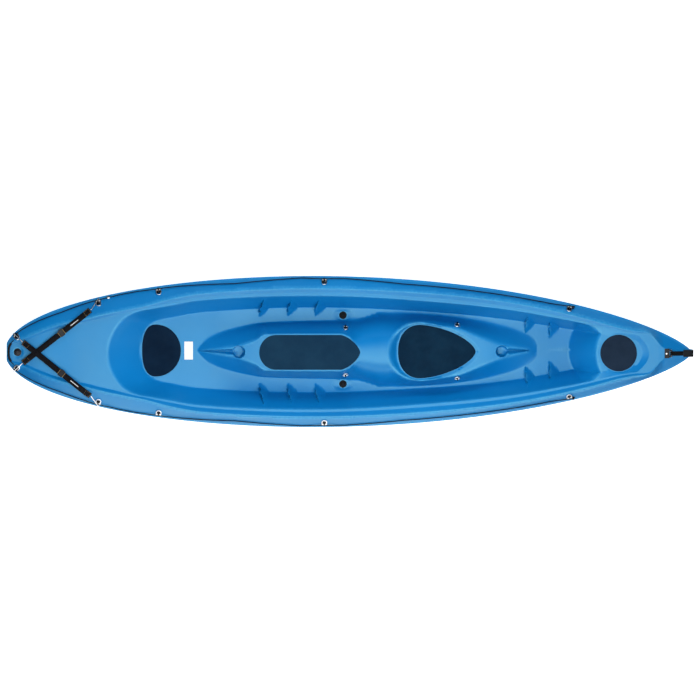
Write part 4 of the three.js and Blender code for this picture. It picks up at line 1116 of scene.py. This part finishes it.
# ---- Stern carry handle ----
HANDLE = {"x": -1908, "half": 70, "bow": 30, "cord": 2.8, "tube": 6.5, "lift": 12.5}
share = np.linspace(-1, 1, 57)
handle_z = deck_at(HANDLE["x"] - 6, 30) + HANDLE["lift"]
arc = np.column_stack([HANDLE["x"] - HANDLE["bow"] * (1 - np.abs(share) ** 2.6), HANDLE["half"] * share,
                       np.full(57, handle_z)])
piece("handle_cord", [tube(arc, HANDLE["cord"], 12, 3, 14.0)], "rope", "stern_handle",
      ["stern_handle_cord"])
sleeve = arc[np.abs(arc[:, 1]) < HANDLE["half"] - 17]
ribs = HANDLE["tube"] * (1 - 0.07 * (np.arange(len(sleeve)) % 3 == 0))
ribs[[0, -1]] = HANDLE["tube"] * 0.8
piece("handle_sleeve", [tube(sleeve, ribs, 20)], "rubber", "stern_handle",
      ["stern_handle_tube"])

# ---- Bow carry handle ----
PIN = {"x": 1824, "up": 9, "r": 3}
GRIP_X = 1892
BRACKET_X = 1800
BOW_STRAP = {"half": 12.5, "thick": (5.4, 4), "bore": 3.4, "loop": 6.3}

pin_z = deck_at(BRACKET_X, 0) + PIN["up"]
length = GRIP_X - PIN["x"]
half, bore, r = BOW_STRAP["half"], BOW_STRAP["bore"], BOW_STRAP["loop"]
rings = []
for t in np.linspace(0, 1, 20):
    x = PIN["x"] + 5 + t * (length - 5)
    low = mix(pin_z - 2, deck_at(GRIP_X, 0) + 3, (x - PIN["x"]) / length)
    section = strip_section(half, mix(*BOW_STRAP["thick"], t), 0.9)
    rings.append([(x, off, low + up) for off, up in section])
turn = np.linspace(0, 2 * math.pi, 32, endpoint=False)
loop = [[(PIN["x"] + far * math.cos(a), y, pin_z + far * math.sin(a)) for a in turn[::-1]]
        for y, far in ((-half, bore), (-half, r), (half, r), (half, bore))]
LOOKS["web"] = webbing("webbing_bow")
piece("bow_strap_webbing", [loft(rings), loft(loop, closed=True)], "web", "bow_handle",
      ["bow_handle_strap"])

# ---- Scuppers and drain ----
SCUPPER_TUBE = {"bore": 15, "r": 20}
scupper_top = float(floor_z(SCUPPER["x"])) - SCUPPER["depth"]
scupper_low = float(hull_height(np.float64(SCUPPER["x"]), np.float64(SCUPPER["y"])))
PLUG = [(0, -40), (9.5, -40), (11, -38.5), (12, -25), (13.5, 0), (20.5, 0), (21.5, 1), (21.3, 2.6), (19, 4),
        (16, 4.8), (10.5, 5), (9.6, 6), (9.4, 9), (8, 10.6), (5.5, 11), (0, 11)]
for side, sign in SIDES:
    y = sign * SCUPPER["y"]
    bore, r = SCUPPER_TUBE["bore"], SCUPPER_TUBE["r"]
    pipe = [(bore, scupper_low), (r, scupper_low), (r, scupper_top - 0.5), (bore, scupper_top - 0.5)]
    piece(f"drain_pipe_{side}", [turned(pipe, SCUPPER["x"], y, 0)], "blue",
          nodes=[f"scupper_tube_{side}"])
    piece(f"scupper_bung_{side}", [turned(PLUG, SCUPPER["x"], y, scupper_top + GAP)], "rubber",
          f"scupper_plug_{side}_body", [f"scupper_plug_{side}"])
HOUSING = [(9.5, -24), (15.5, -24), (15.5, GAP), (21.4, GAP), (22, 0.9), (22, 1.8), (21.2, 2.5), (15.4, 2.5),
           (9.5, 2.5)]
SEAL = [(10.5, 3.2), (11, 2.8), (13.5, 2.8), (14, 3.2), (14, 4.4), (13.5, 4.8), (11, 4.8), (10.5, 4.4)]
CAP = [(0, -20), (7.5, -20), (9, -17), (9, 5.1), (14.5, 5.1), (14.5, 8), (13.4, 9.3), (8, 9.5), (7.4, 7.6),
       (0, 7.4)]
piece("drain_seat", [turned(HOUSING, DRAIN["x"], 0, drain_level)], "black",
      nodes=["drain_housing"])
piece("drain_ring", [turned(SEAL, DRAIN["x"], 0, drain_level)], "rubber", "drain_seal_body",
      ["drain_seal"])
piece("drain_cap", [turned(CAP, DRAIN["x"], 0, drain_level, 96, (12, 0.07, (4, 5, 6)))], "black",
      "drain_plug_body", ["drain_plug"])

# ---- Buoyancy foam inside the shells ----
for node in ("foam_block_stern", "foam_block_centre", "foam_block_bow"):
    low, high = (np.array(corner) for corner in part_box(node))
    block = bmesh.new()
    bmesh.ops.create_cube(block, size=1.0)
    bmesh.ops.scale(block, vec=high - low, verts=block.verts)
    bmesh.ops.translate(block, vec=(low + high) / 2, verts=block.verts)
    bmesh.ops.bevel(block, geom=block.edges[:], offset=0.012, segments=4, profile=0.5, affect="EDGES")
    verts = [np.array(v.co) / MM for v in block.verts]
    faces = [[v.index for v in f.verts] for f in block.faces]
    piece(node + "_bead_foam", [(verts, faces)], "foam", nodes=[node])
    block.free()

# ---- CAD pieces whose shape is right: rounded edges and a finish ----
KEPT = {"bow_handle_bracket": ("black", 0.8), "bow_handle_pin": ("steel", 0.4),
        "bow_handle_screw": ("steel", 0.3), "bow_handle_grip": ("rubber", 2.4),
        "strap_buckle_port": ("black", 0.9), "strap_buckle_starboard": ("black", 0.9),
        "blank_label": ("label", 0.2)}
for node, (look, width) in KEPT.items():
    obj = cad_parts[node]
    obj.data.materials.clear()
    obj.data.materials.append(LOOKS[look])
    bevel = obj.modifiers.new("rounded", "BEVEL")
    bevel.width = width * MM
    bevel.segments = 3
    bevel.limit_method = "ANGLE"
    bevel.angle_limit = math.radians(35)

# ---- Camera and light ----
CAMERA_TILT = math.radians(5.5)
VIEW_WIDTH = 3.974
VIEW_OFFSET = -0.0125
lo, hi = (np.array(v) for v in cad_box)
toward = np.array([0, math.sin(CAMERA_TILT), math.cos(CAMERA_TILT)])
upward = np.array([0, math.cos(CAMERA_TILT), -math.sin(CAMERA_TILT)])
aim = (lo + hi) / 2
aim += upward * (VIEW_OFFSET - aim.dot(upward))
camera = bpy.data.objects.new("camera", bpy.data.cameras.new("camera"))
camera.data.type = "ORTHO"
camera.data.ortho_scale = VIEW_WIDTH
camera.data.clip_end = 50
camera.location = Vector(aim + toward * 6)
camera.rotation_euler = (-CAMERA_TILT, 0, 0)
scene.collection.objects.link(camera)
scene.camera = camera


def area_light(name, place, size, power, diffuse=True, glossy=True, target=(0, 0, 0.2)):
    light = bpy.data.lights.new(name, "AREA")
    light.shape = "RECTANGLE"
    light.size, light.size_y = size
    light.energy = power
    obj = bpy.data.objects.new(name, light)
    obj.location = place
    obj.rotation_euler = (Vector(target) - Vector(place)).to_track_quat("-Z", "Y").to_euler()
    obj.visible_diffuse = diffuse
    obj.visible_glossy = glossy
    scene.collection.objects.link(obj)
    return obj


area_light("overhead_softbox", (0, -1.25, 3.2), (5.4, 2.5), 92)
area_light("overhead_sheen", (0, -1.2, 3.1), (5.4, 2.5), 105, diffuse=False)
area_light("overhead_fill", (0, 0.3, 3.4), (6.0, 2.4), 78, glossy=False)
area_light("starboard_panel", (0, -4.2, 0.7), (6.0, 2.6), 200, diffuse=False)
area_light("port_fill", (0, 4.2, 2.2), (6.0, 2.0), 112, glossy=False)
area_light("starboard_fill", (0, -4.2, 2.6), (6.0, 2.0), 28, glossy=False)
world = bpy.data.worlds.new("studio")
world.use_nodes = True
world.node_tree.nodes["Background"].inputs["Color"].default_value = (1, 1, 1, 1)
world.node_tree.nodes["Background"].inputs["Strength"].default_value = 0.12
world.cycles_visibility.glossy = False
scene.world = world
scene.view_settings.view_transform = "Standard"
scene.view_settings.look = "None"

floor = bpy.data.objects.new("floor", bpy.data.meshes.new("floor"))
floor.data.from_pydata([(-60, -60, 0), (60, -60, 0), (60, 60, 0), (-60, 60, 0)], [], [(0, 1, 2, 3)])
pale = Look("pale_floor")
pale.put("Base Color", pale.blend(pale.noise(0.7, 3), (0.93, 0.93, 0.93), (0.96, 0.96, 0.96)))
pale.put("Roughness", pale.span(pale.noise(30, 3), 0.3, 0.7, 0.75, 0.9))
pale.put("Emission Color", (1, 1, 1)).put("Emission Strength", 0.7)
floor.data.materials.append(pale.material)
scene.collection.objects.link(floor)
floor.visible_glossy = False
